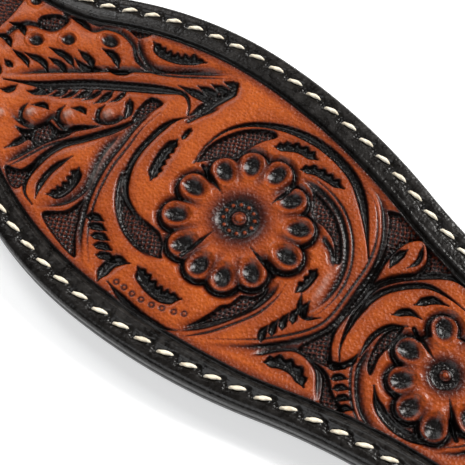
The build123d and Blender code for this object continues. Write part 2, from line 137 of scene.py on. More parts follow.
def edge_half(x, inset=0.0):
    """Half width of the shoulder piece at places x along it, drawn inset from its edge."""
    x = np.asarray(x, float)
    first = PANEL_START + TAB_LENGTH
    along = np.clip(x, first, PANEL_END - TAB_LENGTH) - first
    phase = np.minimum(along - PERIOD * np.floor(along / PERIOD - 1e-9), PERIOD)
    phase = np.where(along <= 0, 0.0, phase)
    from_peak = phase - INNER_HALF
    half = np.full_like(x, NECK_HALF - inset)
    for sign, bulge_r, neck_r, reach in ((-1, INNER_BULGE_R, INNER_NECK_R, INNER_HALF),
                                         (1, OUTER_BULGE_R, OUTER_NECK_R, OUTER_HALF)):
        d = np.clip(from_peak * sign, 0, reach)
        tangent = reach * bulge_r / (bulge_r + neck_r)
        on_bulge = BULGE_HALF - bulge_r + np.sqrt(np.maximum((bulge_r - inset) ** 2 - d ** 2, 0))
        to_neck = reach - d
        on_neck = NECK_HALF + neck_r - np.sqrt(np.maximum((neck_r + inset) ** 2 - to_neck ** 2, 0))
        split = tangent * (bulge_r - inset) / bulge_r
        value = np.where(d <= split, on_bulge, on_neck)
        here = (from_peak * sign >= 0) & (along > 0) & (along < SCALLOPS * PERIOD)
        half = np.where(here, value, half)
    from_end = np.minimum(x - PANEL_START, PANEL_END - x)
    corner = TAB_CORNER - inset
    into = np.clip(TAB_CORNER - from_end, 0, corner)
    rounded = NECK_HALF - TAB_CORNER + np.sqrt(np.maximum(corner ** 2 - into ** 2, 0))
    return np.where(from_end < TAB_CORNER, rounded, half)


def as_arrays(*values):
    return np.broadcast_arrays(*(np.asarray(value, float) for value in values))


def place(side, x, y, z):
    """World points, in metres, of places on a shoulder piece: along it, across it and up."""
    turn = math.radians(180 - SHOULDER_ANGLE)
    x, y, z = as_arrays(x, y, z)
    wx = x * math.cos(turn) - y * math.sin(turn)
    wy = x * math.sin(turn) + y * math.cos(turn)
    mirror = -1.0 if side == "left" else 1.0
    return np.stack([wx * mirror * MM, wy * MM + RING_MIDDLE.y, z * MM], axis=-1)


def place_leg(x, y, z):
    """World points of places on the leg strap: down it from the ring, across it and up."""
    x, y, z = as_arrays(x, y, z)
    return np.stack([y * MM, RING_MIDDLE.y - x * MM, z * MM], axis=-1)


# ---- carving: height, dye and sheen over one scallop ------------------------------
STEP = 0.125
GRID_X = np.arange(-66.0, 71.0, STEP)
GRID_Y = np.arange(-28.5, 28.5, STEP)
height = np.zeros((len(GRID_Y), len(GRID_X)))       # mm, against the raised leather
dye = np.zeros_like(height)                         # 0 tan to 1 black
lines = np.zeros_like(height)                       # where a tool has cut, for the wash
sheen = np.zeros_like(height)                       # painted highlights: grey glints on dark leather and tan


def ease(v):
    v = np.clip(v, 0, 1)
    return v * v * (3 - 2 * v)


def curve(points, closed=False, step=0.4):
    """A smooth line through the points, as short straight runs."""
    p = np.asarray(points, float)
    if len(p) == 2 and not closed:
        n = max(2, int(np.hypot(*(p[1] - p[0])) / step))
        return p[0] + np.linspace(0, 1, n + 1)[:, None] * (p[1] - p[0])
    before, after = (p[-1], p[0]) if closed else (2 * p[0] - p[1], 2 * p[-1] - p[-2])
    ring = np.vstack([before, p, after] + ([p[1]] if closed else []))
    out = []
    for a, b, c, d in zip(ring, ring[1:], ring[2:], ring[3:]):
        n = max(2, int(np.hypot(*(c - b)) / step))
        t = (np.arange(n) / n)[:, None]
        out.append(0.5 * (2 * b + (c - a) * t + (2 * a - 5 * b + 4 * c - d) * t ** 2
                          + (3 * b - a - 3 * c + d) * t ** 3))
    out.append(ring[-2][None])
    return np.vstack(out)


def window(low, high):
    """Rows and columns of the grid between two corners."""
    i0, i1 = np.searchsorted(GRID_X, (low[0], high[0]))
    j0, j1 = np.searchsorted(GRID_Y, (low[1], high[1]))
    return slice(j0, j1), slice(i0, i1)


def around(x, y, reach):
    """Window round a place, with the offsets from it in x and in y."""
    win = window((x - reach, y - reach), (x + reach, y + reach))
    return win, GRID_X[win[1]][None] - x, GRID_Y[win[0]][:, None] - y


def near(line, reach):
    """Window round a line; in it the distance to the line, how far along, and which side."""
    win = window(line.min(0) - reach, line.max(0) + reach)
    shape = height[win].shape
    best = np.full(shape, reach * 1.001)
    along, side = np.zeros(shape), np.ones(shape)
    seg = np.hypot(*np.diff(line, axis=0).T)
    start = np.concatenate([[0], np.cumsum(seg)])
    for k, (a, b) in enumerate(zip(line, line[1:])):
        if seg[k] < 1e-9:
            continue
        sub = window(np.minimum(a, b) - reach, np.maximum(a, b) + reach)
        rows = slice(sub[0].start - win[0].start, sub[0].stop - win[0].start)
        cols = slice(sub[1].start - win[1].start, sub[1].stop - win[1].start)
        dx, dy = (b - a) / seg[k]
        x, y = GRID_X[sub[1]][None] - a[0], GRID_Y[sub[0]][:, None] - a[1]
        s = np.clip(x * dx + y * dy, 0, seg[k])
        d = np.hypot(x - s * dx, y - s * dy)
        closer = d < best[rows, cols]
        best[rows, cols] = np.where(closer, d, best[rows, cols])
        along[rows, cols] = np.where(closer, (start[k] + s) / start[-1], along[rows, cols])
        side[rows, cols] = np.where(closer, np.sign(y * dx - x * dy), side[rows, cols])
    return win, best, along, side, start[-1]


def inside(line, win):
    """Which grid places of a window lie in a closed line."""
    x, y = GRID_X[win[1]][None], GRID_Y[win[0]][:, None]
    result = np.zeros(height[win].shape, bool)
    for a, b in zip(line, np.roll(line, -1, axis=0)):
        if abs(b[1] - a[1]) < 1e-12:
            continue
        crosses = (a[1] > y) != (b[1] > y)
        result ^= crosses & (x < (b[0] - a[0]) * (y - a[1]) / (b[1] - a[1]) + a[0])
    return result


def blur(field, radius):
    """Gaussian blur by a radius in mm."""
    pad = int(3 * radius / STEP) + 1
    wide = np.pad(field, pad, mode="edge")
    fy = np.fft.fftfreq(wide.shape[0], STEP)[:, None]
    fx = np.fft.rfftfreq(wide.shape[1], STEP)[None]
    gauss = np.exp(-2 * (math.pi * radius) ** 2 * (fx ** 2 + fy ** 2))
    soft = np.fft.irfft2(np.fft.rfft2(wide) * gauss, s=wide.shape)
    return soft[pad:-pad, pad:-pad]


def darken(win, amount):
    """Dyes a window at least that dark."""
    dye[win] = np.maximum(dye[win], amount)


def matting_pattern():
    """Small pressed cells, as a matting tool leaves them: 0 in a pit, 1 on a ridge."""
    pitch = 0.82
    x, y = np.meshgrid(GRID_X, GRID_Y)
    turn = math.radians(28)
    u = (x * math.cos(turn) + y * math.sin(turn)) / pitch
    v = (y * math.cos(turn) - x * math.sin(turn)) / pitch
    cu, cv = np.floor(u), np.floor(v)
    near_d, next_d = np.full(x.shape, 9.0), np.full(x.shape, 9.0)
    for du in (-1, 0, 1):
        for dv in (-1, 0, 1):
            a, b = cu + du, cv + dv
            ja = np.modf(np.abs(np.sin(a * 12.9898 + b * 78.233) * 43758.5453))[0]
            jb = np.modf(np.abs(np.sin(a * 39.346 + b * 11.135) * 24634.6345))[0]
            d = np.hypot(u - a - 0.25 - 0.5 * ja, v - b - 0.25 - 0.5 * jb)
            next_d = np.where(d < near_d, near_d, np.minimum(next_d, d))
            near_d = np.minimum(near_d, d)
    return 1 - ease((next_d - near_d) / 0.5)


MATTING = matting_pattern()


def taper(t, start, end, least=0.12):
    """1 along a line, falling to least at its ends over those shares of its length."""
    a = 1.0 if start <= 0 else ease(t / start) * (1 - least) + least
    b = 1.0 if end <= 0 else ease((1 - t) / end) * (1 - least) + least
    return a * b


def ground(points, depth=0.85):
    """Background pressed down and matted, inside a closed outline."""
    line = curve(points, closed=True)
    win, d, _, _, _ = near(line, 6.0)
    within = inside(line, win)
    fall = ease(d / 0.75) * within
    pits = MATTING[win]
    level = -depth * fall + 0.36 * (pits - 0.6) * ease(d / 0.9) * within
    height[win] = np.where(within, np.minimum(height[win], 0) * (1 - fall) + level, height[win])
    tone = 0.95 - 0.66 * pits * ease(d / 0.8)
    dye[win] = np.where(within, np.maximum(dye[win], tone * ease(d / 0.3)), dye[win])
    lines[win] = np.maximum(lines[win], np.clip(1.3 - d / 0.5, 0, 1) * within)


def restore(points, rise=0.1):
    """Leather left standing inside a closed outline, within ground cut before."""
    line = curve(points, closed=True)
    win, d, _, _, _ = near(line, 4.0)
    keep = ease(d / 0.5) * inside(line, win)
    for field, value in ((height, rise), (dye, 0.0), (lines, 0.0)):
        field[win] = field[win] * (1 - keep) + value * keep


def groove(points, width=1.0, start=0.3, end=0.5, depth=0.6, tone=1.0, teeth=0.0, tooth_side=1):
    """A dark tapering cut; with teeth, one side is scalloped at that pitch."""
    line = curve(points)
    win, d, t, side, length = near(line, width / 2 + 1.2)
    half = width / 2 * taper(t, start, end)
    if teeth:
        wave = 0.5 - 0.5 * np.cos(2 * math.pi * t * length / teeth)
        half = half * np.where(side == tooth_side, 0.75 + 0.55 * wave, 0.9)
    cover = np.clip((half - d) / 0.16 + 0.5, 0, 1)
    height[win] -= depth * cover * np.sqrt(np.clip(1.1 - (d / np.maximum(half, 0.05)) ** 2, 0.15, 1))
    darken(win, tone * cover)
    lines[win] = np.maximum(lines[win], cover * taper(t, start, end))


def cut(points, side, bevel, double, depth=0.55, start=0.15, end=0.25, tone=0.95):
    """A knife cut with the leather pressed down along one side; double adds a line beside it."""
    line = curve(points)
    if double:
        way = np.gradient(line, axis=0)
        way /= np.hypot(*way.T)[:, None]
        beside = line + side * double * np.stack([way[:, 1], -way[:, 0]], 1)
        groove(beside[::3], 0.42, 0.3, 0.3, 0.22, 0.62)
    win, d, t, which, length = near(line, bevel + 0.3)
    amount = taper(t, start, end)
    ribs = 1 + 0.04 * np.sin(2 * math.pi * t * length / 0.8)
    pressed = (which == side) * np.clip(1 - d / bevel, 0, 1) ** 1.6 * ribs
    crisp = np.exp(-(d / 0.34) ** 2)
    height[win] -= depth * amount * np.maximum(pressed, 0.7 * crisp)
    darken(win, amount * np.maximum(tone * crisp, 0.72 * pressed))
    lines[win] = np.maximum(lines[win], crisp * amount)


def dish(x, y, rx, ry, turn=0.0, depth=0.5, tone=0.9, soft=0.45):
    """An oval hollow, its long axis turned by degrees from +x."""
    reach = 1.4 * max(rx, ry)
    win, dx, dy = around(x, y, reach)
    a = math.radians(turn)
    along = (dx * math.cos(a) + dy * math.sin(a)) / rx
    q = np.hypot(along, (dy * math.cos(a) - dx * math.sin(a)) / ry)
    height[win] += 0.16 * np.exp(-((q - 1.12) / 0.16) ** 2) - depth * np.clip(1 - q * q, 0, 1)
    outward = np.clip(along, -1, 1)
    darken(win, tone * (0.8 + 0.2 * outward) * ease((1 - q) / soft))
    lines[win] = np.maximum(lines[win], 0.5 * ease((1 - q) / soft))


def dome(x, y, r, rise):
    """A round bead, tan on top and dark at its foot."""
    win, dx, dy = around(x, y, r)
    q = np.hypot(dx, dy) / r
    height[win] += rise * np.sqrt(np.clip(1 - q * q, 0, 1))
    dye[win] = np.where(q < 1, np.minimum(dye[win], 0.25 + 0.7 * ease((q - 0.55) / 0.45)), dye[win])


def strokes(first, last, count, turn, size=3.4, width=1.4):
    """A row of short bowed cuts between two places, all turned the same way."""
    a = math.radians(turn)
    way, bow = np.array([math.cos(a), math.sin(a)]), np.array([-math.sin(a), math.cos(a)])
    for k in range(count):
        c = np.asarray(first) + (np.asarray(last) - np.asarray(first)) * k / (count - 1)
        groove([c - way * size / 2, c + bow * 0.4, c + way * size / 2], width, 0.25, 0.45, 0.6, 1.0)


def paint_highlight(points, width, amount=0.6):
    """A painted grey highlight along a line."""
    win, d, t, _, _ = near(curve(points), width)
    sheen[win] = np.maximum(sheen[win], amount * ease(1 - d / width) * taper(t, 0.3, 0.3))


def swell(points, width, rise):
    """Leather left standing higher along a line."""
    win, d, t, _, _ = near(curve(points), width)
    height[win] += rise * ease(1 - d / width) * taper(t, 0.2, 0.2)


def ring_marks(points, r=0.45):
    """Small rings pressed with a seeder."""
    for x, y in points:
        win, dx, dy = around(x, y, 2 * r)
        mark = np.exp(-((np.hypot(dx, dy) - r) / 0.16) ** 2)
        height[win] -= 0.2 * mark
        darken(win, 0.75 * mark)


def flower(cx, cy, dishes, splits, button, halo, beads, lobe_r, dish_size):
    """A raised flower: lobes with hollows round a button. Places are from its centre."""
    reach = max(math.hypot(*p) for p in dishes) + lobe_r + 2.0
    win, x, y = around(cx, cy, reach)
    edge = np.full(height[win].shape, 99.0)
    for px, py in dishes:
        length = math.hypot(px, py)
        s = np.clip((x * px + y * py) / length, 0, length)
        d = np.hypot(x - s * px / length, y - s * py / length)
        edge = np.minimum(edge, d - lobe_r * (0.55 + 0.45 * s / length))
    edge = np.minimum(edge, np.hypot(x, y) - (reach - 2 * lobe_r - 1.1))
    within = edge < 0
    outer = np.clip(1 - edge / 1.5, 0, 1)
    base = np.where(within, 0.25 + 0.25 * ease(-edge / 0.8) - 0.15 * ease(-edge / 3.5), -0.75 * outer)
    height[win] = np.where(within, base, np.minimum(height[win], height[win] * (1 - outer) + base))
    tone = np.where(within, 0.75 * np.exp(-((edge + 0.05) / 0.3) ** 2), 0.95 * outer ** 1.2)
    dye[win] = np.where(within, tone, np.maximum(dye[win], tone))
    lines[win] = np.where(within, 0, lines[win])
    lines[win] = np.maximum(lines[win], 0.8 * np.exp(-(edge / 0.35) ** 2))
    sheen[win] = np.where(within, 0, sheen[win])
    angle = np.arctan2(y, x)
    r = np.hypot(x, y)
    veins = 0.5 + 0.5 * np.sin(angle * 46 + 2.0 * np.sin(angle * 7))
    band = ease((r - halo * 0.7) / 1.5) * ease((reach - 4.5 - r) / 3.0) * within
    height[win] -= 0.02 * veins * band
    dye[win] = np.maximum(dye[win], 0.06 * veins * band)
    # a valley between each two lobes, pressed in a little and darkened as painted shade
    for (px, py), (qx, qy) in zip(dishes, dishes[1:] + dishes[:1]):
        mx, my = (px + qx) / 2, (py + qy) / 2
        length = math.hypot(mx, my)
        valley = curve([(cx + mx * k / length, cy + my * k / length) for k in (halo, length + 1.5)])
        v_win, d, t, _, _ = near(valley, 2.4)
        soft = np.exp(-(d / 0.85) ** 2) * ease(t / 0.7)
        height[v_win] -= 0.22 * soft
        darken(v_win, 0.42 * soft)
    for px, py in dishes:
        turn = math.degrees(math.atan2(py, px))
        dish(cx + px, cy + py, dish_size[0], dish_size[1], turn, 0.45, 1.0, 0.6)
    for a, b in splits:
        split = [(cx + 1.2 * a[0], cy + 1.2 * a[1]), (cx + b[0], cy + b[1])]
        groove(split, 0.75, 0.0, 0.5, 0.5, 0.95)
    darken(win, 0.85 * ease((1.6 * halo - r) / (1.1 * halo)))
    darken(win, 0.97 * ease((halo - r) / (0.35 * halo)))
    height[win] -= 0.45 * ease((halo - r) / (0.4 * halo))
    for i in range(beads):
        a = 2 * math.pi * i / beads
        dome(cx + (button + 1.25) * math.cos(a), cy + (button + 1.25) * math.sin(a), 0.5, 0.35)
    dome(cx, cy, button, 0.75)
    ring_marks([(cx, cy)], button * 0.55)

# ---- the motif: places in the scallop's own frame, in millimetres ------------------
def carve_motif():
    """Everything that is carved on one scallop, in the order it is cut."""
    grounds = [
        [(-13.5, 4), (-13.8, 9), (-11, 15), (-6.5, 18.6), (-4.5, 18), (-6, 15.5), (-7.5, 12), (-8.2, 9.5),
         (-10.5, 7.5), (-12.3, 5)],
        [(5, 13.8), (9, 13.6), (14, 12), (18, 8.8), (20.5, 5), (19.5, 4), (17, 7), (14, 8.3), (10.5, 9),
         (9, 11), (7.5, 13)],
        [(13, -7), (13.8, -9), (13, -13), (11, -16.5), (8, -20.5), (6, -22.5), (7, -20), (8, -17),
         (8.3, -15.5), (9.5, -14), (10, -11.5), (12, -10)],
        [(-20.5, -9.5), (-16.5, -11), (-12, -11.2), (-9.5, -11.3), (-7.5, -12.5), (-6.3, -14.3),
         (-5.5, -15.3), (-8, -16.2), (-12, -16), (-16, -14.6), (-19, -12)],
        [(-25, -15), (-26, -19), (-29, -21.8), (-28, -23.3), (-23, -24.8), (-18, -25.2), (-21, -21.5),
         (-23.5, -17.5)],
        [(-38.5, -9), (-41.5, -7), (-43, -10.5), (-40, -13)],
        [(-37.5, -14), (-38.5, -18), (-41.5, -19.5), (-38, -22), (-35.8, -21)],
        [(21, 19), (26, 20.3), (31, 19.5), (36, 17.8), (38.5, 16.3), (35, 14), (32, 11), (29, 7), (27, 3),
         (26, 7), (25, 12), (22.5, 17)],
        [(26.3, 8), (27.5, 4), (27.8, 0), (27.5, -5), (28.8, -9), (31, -12), (28, -13), (24, -12.8),
         (26.5, -6), (26.3, 0)],
        [(34.5, 0), (36.5, 2.3), (37, -1), (36.5, -5), (37.2, -9), (35.5, -8), (34.3, -4)],
        [(24, -13.2), (27, -12.9), (31, -13.2), (34, -15.5), (37.5, -17), (33.5, -18.8), (31.8, -16.5),
         (29.5, -14)],
        [(-60, 16.4), (-54, 18), (-48, 19.8), (-42, 21.6), (-38.6, 21.4), (-40.3, 18.2), (-43.5, 18.2),
         (-47, 17.1),
         (-49, 15), (-53, 14.4), (-56, 13.2), (-59, 14.6)],
        [(-30.2, 4.5), (-31, 0.5), (-34, -2.2), (-37, -4.6), (-38.5, -7), (-42, -7.2), (-43.5, -10.8),
         (-46, -12.2),
         (-41, -12.6), (-38, -9), (-36, -6), (-33, -2)],
        [(-29.5, 9.5), (-26.5, 9.8), (-27.5, 6), (-29, 3), (-30, 6)],
        [(-58.5, 7.5), (-56, 8.6), (-54.3, 12.5), (-56.8, 12.6), (-59.6, 9.8)],
        # both ends of the tile, where the next scallop's ground goes on
        [(58, 16), (64, 15), (71.5, 14), (71.5, -14), (64, -15), (58, -14), (61, -6), (62, 4)],
        [(-66.5, 10), (-65, 10.5), (-64.2, 6), (-64, 1), (-62, -4), (-61, -9), (-63, -13),
         (-66.5, -13)],
    ]
    for points in grounds:
        ground(points)
    restore([(27.5, 5), (26.5, 10), (27, 15), (29, 17.8), (31, 17.5), (32.8, 15), (32.5, 12), (31, 10),
             (29, 8)])

    # edges of the stems and leaves, each pressed down on its outer side
    for side, bevel, double, points in [
        (1, 2.0, 1.2, [(14.5, 20.8), (18, 20), (21, 17.5), (24, 13), (25.6, 8), (26, 3), (26.3, -4),
                       (25.5, -8),
                  (23, -12), (19, -16.5), (15, -20), (11, -23)]),
        (-1, 2.0, 1.1, [(4, 14), (9, 14.2), (14, 12.8), (18, 9.8), (20.8, 6), (22.3, 2), (22.6, -2),
                        (22, -5.5),
                   (21, -7)]),
        (-1, 2.0, 1.2, [(14, -5), (14.3, -8), (13.5, -12), (11.5, -16), (9, -20), (6, -23.5),
                        (4.5, -24.8)]),
        (-1, 2.2, 1.3, [(-27, 8), (-27.5, 3), (-27, -2), (-26.5, -7), (-25, -12.5), (-23, -17),
                        (-20, -21.5),
                   (-16.5, -25)]),
        (1, 2.0, 0, [(-23.5, -5), (-22, -8.5), (-19.5, -12), (-16, -14.8), (-12, -16.2), (-8, -16.3),
                  (-6, -15.5)]),
        (1, 1.6, 0, [(-55, -4.5), (-50, 0.5), (-44, 5.5), (-38, 10.5), (-32, 15), (-27, 19), (-22, 22.5),
                  (-19, 23.5)]),
        (-1, 2.2, 0, [(-28.9, 0), (-28.5, -6), (-27, -10.5), (-26, -14), (-27, -18), (-30.5, -22)]),
        (1, 1.8, 1.0, [(-41, 19), (-38, 16), (-34, 14.8), (-30, 16.5), (-25, 20), (-20, 23.5)]),
        (-1, 1.6, 0, [(-33, 14.5), (-37, 14), (-40, 16.2), (-43.5, 17), (-47, 16), (-48.5, 14), (-50, 13.6),
                   (-53, 13.2)]),
        (1, 1.6, 0, [(-58, 14.5), (-55, 12.2), (-55.5, 9), (-58.5, 8), (-61.5, 6), (-62, 2), (-60.5, 0)]),
        (-1, 1.6, 0, [(-31, 3), (-31.5, 1), (-33, -0.8), (-35.5, -1.5)]),
        (-1, 1.6, 0, [(-36, -4.8), (-38.5, -6.5), (-41.5, -6), (-42, -8), (-43.5, -10.3), (-47, -10.8),
                   (-49, -10)]),
        (-1, 2.0, 1.0, [(-36, -6), (-39, -11), (-41, -17), (-42, -20)]),
        (1, 1.6, 0, [(27.5, 5), (26.5, 10), (27, 15), (29, 17.8), (31, 17.5), (32.8, 15), (32.5, 12),
                     (31, 10),
                  (29, 8)]),
        (1, 1.8, 0, [(18.5, -19.5), (22, -15), (25, -13.3), (29, -14), (31.5, -17), (33, -19.3)]),
        (1, 1.8, 1.1, [(34, -4), (34.5, -9), (37.5, -13.5), (41, -16), (46, -17.2), (52, -16.6)]),
        (-1, 1.6, 0, [(14.5, 7), (18, 5.5), (20, 3)]),
        (1, 1.6, 0, [(-20.5, 9), (-19.5, 12), (-17.5, 16)]),
        (1, 1.8, 1.1, [(50, 15), (55, 14), (59, 10), (60.5, 4), (60, -4), (57, -10), (52, -14)]),
    ]:
        cut(points, side, bevel, double)

    # tapering dark strokes: width, how soon they widen, how late they narrow, and the line
    for width, start, end, points in [
        (1.9, 0.6, 0.25, [(-13.6, 3.5), (-14.2, 8), (-13.2, 13), (-10.5, 16.8), (-6.5, 19.6),
                          (-2, 21.3), (3, 22),
                          (8, 21.5), (12.5, 20), (16, 17.5), (19, 14.5), (22, 11), (24, 8.6)]),
        (1.3, 0.2, 0.4, [(-21, 10.5), (-23, 7), (-23.6, 2), (-23.2, -3), (-21.5, -7), (-19, -9.8),
                         (-15.5, -11.2), (-12.5, -11.6)]),
        (1.5, 0.3, 0.3, [(-27.5, 7), (-29.5, 1), (-33, -5), (-36, -9.5), (-37, -14), (-36.5, -18.5),
                         (-34.5, -21.3), (-31.5, -22.3)]),
        (2.1, 0.3, 0.3, [(-55, -6), (-48, -1.8), (-41, 4), (-34, 8.8), (-29, 12), (-25, 14), (-22.5, 12.8),
                         (-21.2, 10.8)]),
        (2.0, 0.1, 0.3, [(-17.3, 21.5), (-18.5, 18), (-19.8, 14.5), (-21, 11)]),
        (1.7, 0.1, 0.6, [(-17.5, 22), (-20.5, 21.2)]),
        (1.7, 0.1, 0.6, [(-18.5, 19.8), (-22, 19.2)]),
        (1.7, 0.1, 0.6, [(-19.5, 18), (-24, 17.2)]),
        (1.8, 0.1, 0.6, [(-20, 16.3), (-27, 14.8)]),
        (1.0, 0.3, 0.5, [(18.5, -4.5), (20, -7), (22, -7.6), (24, -6)]),
        (1.2, 0.3, 0.3, [(-32.6, -10), (-33.8, -14), (-33.5, -18), (-32, -21)]),
        (2.2, 0.3, 0.3, [(-9.5, -19.7), (-12, -21), (-12.3, -24), (-11.8, -26)]),
        (1.3, 0.3, 0.3, [(-10.5, -24.8), (-6, -25.6), (-1, -25.8), (3, -25.2), (5.5, -24)]),
        (1.5, 0.2, 0.3, [(-32.5, 6.5), (-31, 4.5), (-30.3, 2.5)]),
        (1.5, 0.2, 0.5, [(-42.5, -11.5), (-43, -14), (-44, -17)]),
        (1.6, 0.3, 0.4, [(28.5, 14.5), (27.8, 12), (28, 9.5)]),
        (0.9, 0.3, 0.4, [(30.3, 17), (31.3, 14), (30.5, 11.5)]),
        (1.3, 0.3, 0.3, [(31.3, -10.3), (29.8, -8), (28.5, -3), (27.8, 4), (30, 8.5), (34, 12.5),
                         (38, 15.2),
                         (42, 15.2), (47, 14.6)]),
        (1.2, 0.3, 0.4, [(29.7, -8), (28.7, -2), (29, 3), (31, 7), (35, 10.8), (39, 11.6), (44, 11.3)]),
        (1.0, 0.3, 0.4, [(33.5, -7.5), (33.2, -3), (34.5, 0.5), (37, 2.5)]),
        (1.6, 0.3, 0.5, [(35.5, 6.5), (37.5, 9.3), (40.5, 10.2)]),
        (1.4, 0.3, 0.5, [(33.5, 2.5), (35.5, 4.8), (38.2, 5.2)]),
        (1.1, 0.3, 0.5, [(33, -6.8), (33, -9), (31.5, -11), (28.5, -11.3)]),
        (1.8, 0.3, 0.3, [(38.5, -10), (41, -12.3), (45, -13.6), (49, -13.2), (53, -11.5)]),
        (1.6, 0.3, 0.4, [(56.5, 9), (58, 5), (58, 0), (56.5, -5)]),
        # upper acanthus
        (1.5, 0.4, 0.3, [(-44.5, 11.7), (-41.5, 12), (-39, 10.5)]),
        (1.4, 0.4, 0.3, [(-48, 8.5), (-44.5, 8.2), (-43, 7)]),
        (1.4, 0.4, 0.3, [(-53, 5.2), (-49, 5.9), (-46, 5)]),
        (1.3, 0.4, 0.3, [(-56, 1.2), (-52, 2), (-49.5, 1)]),
        (1.2, 0.4, 0.3, [(-58, -2.5), (-55.5, -2.8)]),
        (1.2, 0.4, 0.3, [(-55, 13.3), (-52, 14), (-49, 13.5)]),
        (1.3, 0.4, 0.3, [(-41, 9), (-38.5, 9.6), (-36, 11.6)]),
        (1.2, 0.4, 0.3, [(-47.5, 6.6), (-44.5, 6.4), (-41.5, 8.2)]),
        (1.2, 0.4, 0.3, [(-51.5, 3.4), (-48.5, 3.8), (-46.5, 3.2)]),
        (1.1, 0.4, 0.3, [(-58.5, 0.2), (-55, 0.2), (-53, -0.8)]),
        (1.3, 0.4, 0.3, [(-63.5, 4.5), (-61, 5.4), (-58.8, 4.2)]),
        (1.2, 0.4, 0.3, [(-64, 0.5), (-61.5, 1.6), (-59, 0.4)]),
        (1.2, 0.4, 0.3, [(-61, -4), (-58, -4.6), (-56, -6.4)]),
        # lower acanthus
        (1.0, 0.3, 0.5, [(-34.3, 7.6), (-34.4, 5), (-35.2, 3.2)]),
        (1.0, 0.3, 0.5, [(-38.2, 4.8), (-38.6, 2.4), (-39.6, 0.2)]),
        (1.0, 0.3, 0.5, [(-42, 2.2), (-42.4, -0.4), (-43.4, -2.2)]),
        (1.0, 0.3, 0.5, [(-45.8, -0.4), (-46.4, -3), (-47.6, -4.4)]),
        (1.1, 0.3, 0.5, [(-36.8, -1.6), (-38.2, -1.2), (-40, -2.4)]),
        (1.1, 0.3, 0.5, [(-43.2, -5.4), (-44.8, -5.2), (-46.6, -6.8)]),
        (1.5, 0.3, 0.5, [(-36.3, 5.8), (-36.6, 3), (-37.3, 1.2)]),
        (1.5, 0.3, 0.5, [(-39.8, 4), (-40.3, 1.5), (-41.3, -0.5)]),
        (1.5, 0.3, 0.5, [(-43.8, 1), (-44.3, -1.5), (-45.3, -3)]),
        (1.5, 0.3, 0.5, [(-47.3, -1.7), (-48, -4), (-49.5, -5)]),
        (1.4, 0.3, 0.5, [(-52, -5.3), (-52.5, -7), (-54, -8)]),
    ]:
        groove(points, width, start, end)

    # serrated seams down the middles of the leaves
    for width, teeth, side, points in [
        (2.0, 1.7, 1, [(-3.8, 16), (0, 18.6), (4.5, 19)]),
        (1.9, 1.7, 1, [(3, 15.3), (6, 17), (12, 17.2)]),
        (1.8, 1.7, -1, [(17.8, 1), (18, -2), (17.5, -5)]),
        (2.3, 1.7, 1, [(-19.3, 5.5), (-19.5, 2), (-18.8, -1.5), (-17.6, -4.5)]),
        (2.6, 1.8, 1, [(-8, -19.2), (-5, -20.5), (-1, -20.8), (2.3, -19)]),
        (2.4, 1.8, -1, [(-30, -11), (-29, -14), (-29.3, -17), (-31, -19)]),
        (2.3, 1.8, 1, [(-37.5, 19.5), (-34.5, 18.6), (-31, 19.5), (-28, 21.5), (-26, 22.3)]),
        (2.3, 1.8, 1, [(21, -18.8), (23.5, -17), (26.5, -16.6), (29.3, -18)]),
        (1.0, 0.8, 1, [(-18.8, 9), (-18.9, 7.5), (-18.6, 6)]),
    ]:
        groove(points, width, 0.16, 0.2, 0.65, 1.0, teeth, side)

    # round hollows and pressed crescents
    for x, y, rx, ry, turn in [
        (-51.3, 9, 1.7, 1.5, 20), (-56.3, 4.8, 1.8, 1.5, 20), (-44.5, 14, 2.2, 1.6, 10),
        (-63, 12, 1.5, 1.5, 0),
    ]:
        dish(x, y, rx, ry, turn)
    strokes((17.9, -14.6), (21.0, -6.4), 5, 107)
    strokes((-20.6, -17.0), (-13.8, -21.6), 5, 22, 3.8, 1.5)
    strokes((31.8, -11.6), (37.2, -16.6), 5, 38, 3.0, 1.2)
    ring_marks([(-9, -23.9), (-7.2, -23.8), (-5.3, -23.8), (-3.3, -23.6), (-1.2, -23.2), (0.7, -22.5),
                (2.8, -21.7), (4.5, -20.8)])
    # raised lobes with hooked cuts; painted grey highlights on them and along two edges
    for x, y in [(-33.5, 1.2), (-39.5, -3.8), (-45.5, -8), (-50, -12)]:
        swell([(x - 0.5, y - 1), (x + 0.5, y + 1)], 2.0, 0.35)
        paint_highlight([(x - 0.4, y - 1.2), (x, y), (x + 0.4, y + 1.2)], 1.3, 1.0)
        hook = [(x - 1.8, y + 1.2), (x - 1.9, y - 0.6), (x - 0.6, y - 2.2), (x + 1.2, y - 1.8)]
        groove(hook, 0.8, 0.3, 0.3, 0.4, 0.9)
    paint_highlight([(19.8, 3.5), (20.5, 0), (21, -5)], 1.0)
    paint_highlight([(-27.8, 0), (-28.3, -4), (-27.5, -8), (-26.3, -12), (-25.5, -13.5)], 0.9, 0.45)

    flower(0.6, -0.3,
           [(-8.2, 6.0), (-4.9, 10.1), (0, 11.6), (5.4, 9), (9.9, 5.3), (11.4, -0.3), (8.4, -6.9),
            (4.9, -10.7), (0.2, -11.5), (-4.9, -10.2), (-9.6, -6.5), (-10.6, -0.2)],
           [((3.4, 10.3), (2.7, 5.8)), ((9.9, -3.9), (5.0, -3.1)), ((-3.1, -10.2), (-2.2, -4.7)),
            ((-10.4, 3.8), (-5.6, 2.0))],
           1.7, 5.2, 12, 3.2, (2.8, 2.05))
    flower(47.2, -1.0,
           [(-4.9, 7.0), (-7.5, -0.2), (-5.4, -5.3), (-1.6, -8.3), (3.6, -8.7), (7.7, -3.6), (8.0, 2.9),
            (2.9, 8.0)],
           [((-7.6, 3.2), (-3, 1.2)), ((6.5, -6.6), (2.6, -2.6))],
           1.2, 3.4, 0, 2.7, (2.8, 2.1))


carve_motif()
lines_near, lines_far = blur(lines, 0.55), blur(lines, 1.7)
height -= 0.35 * lines_near + 0.35 * lines_far
dye = np.clip(0.04 + dye + 0.38 * lines_near + 0.38 * lines_far, 0, 1)


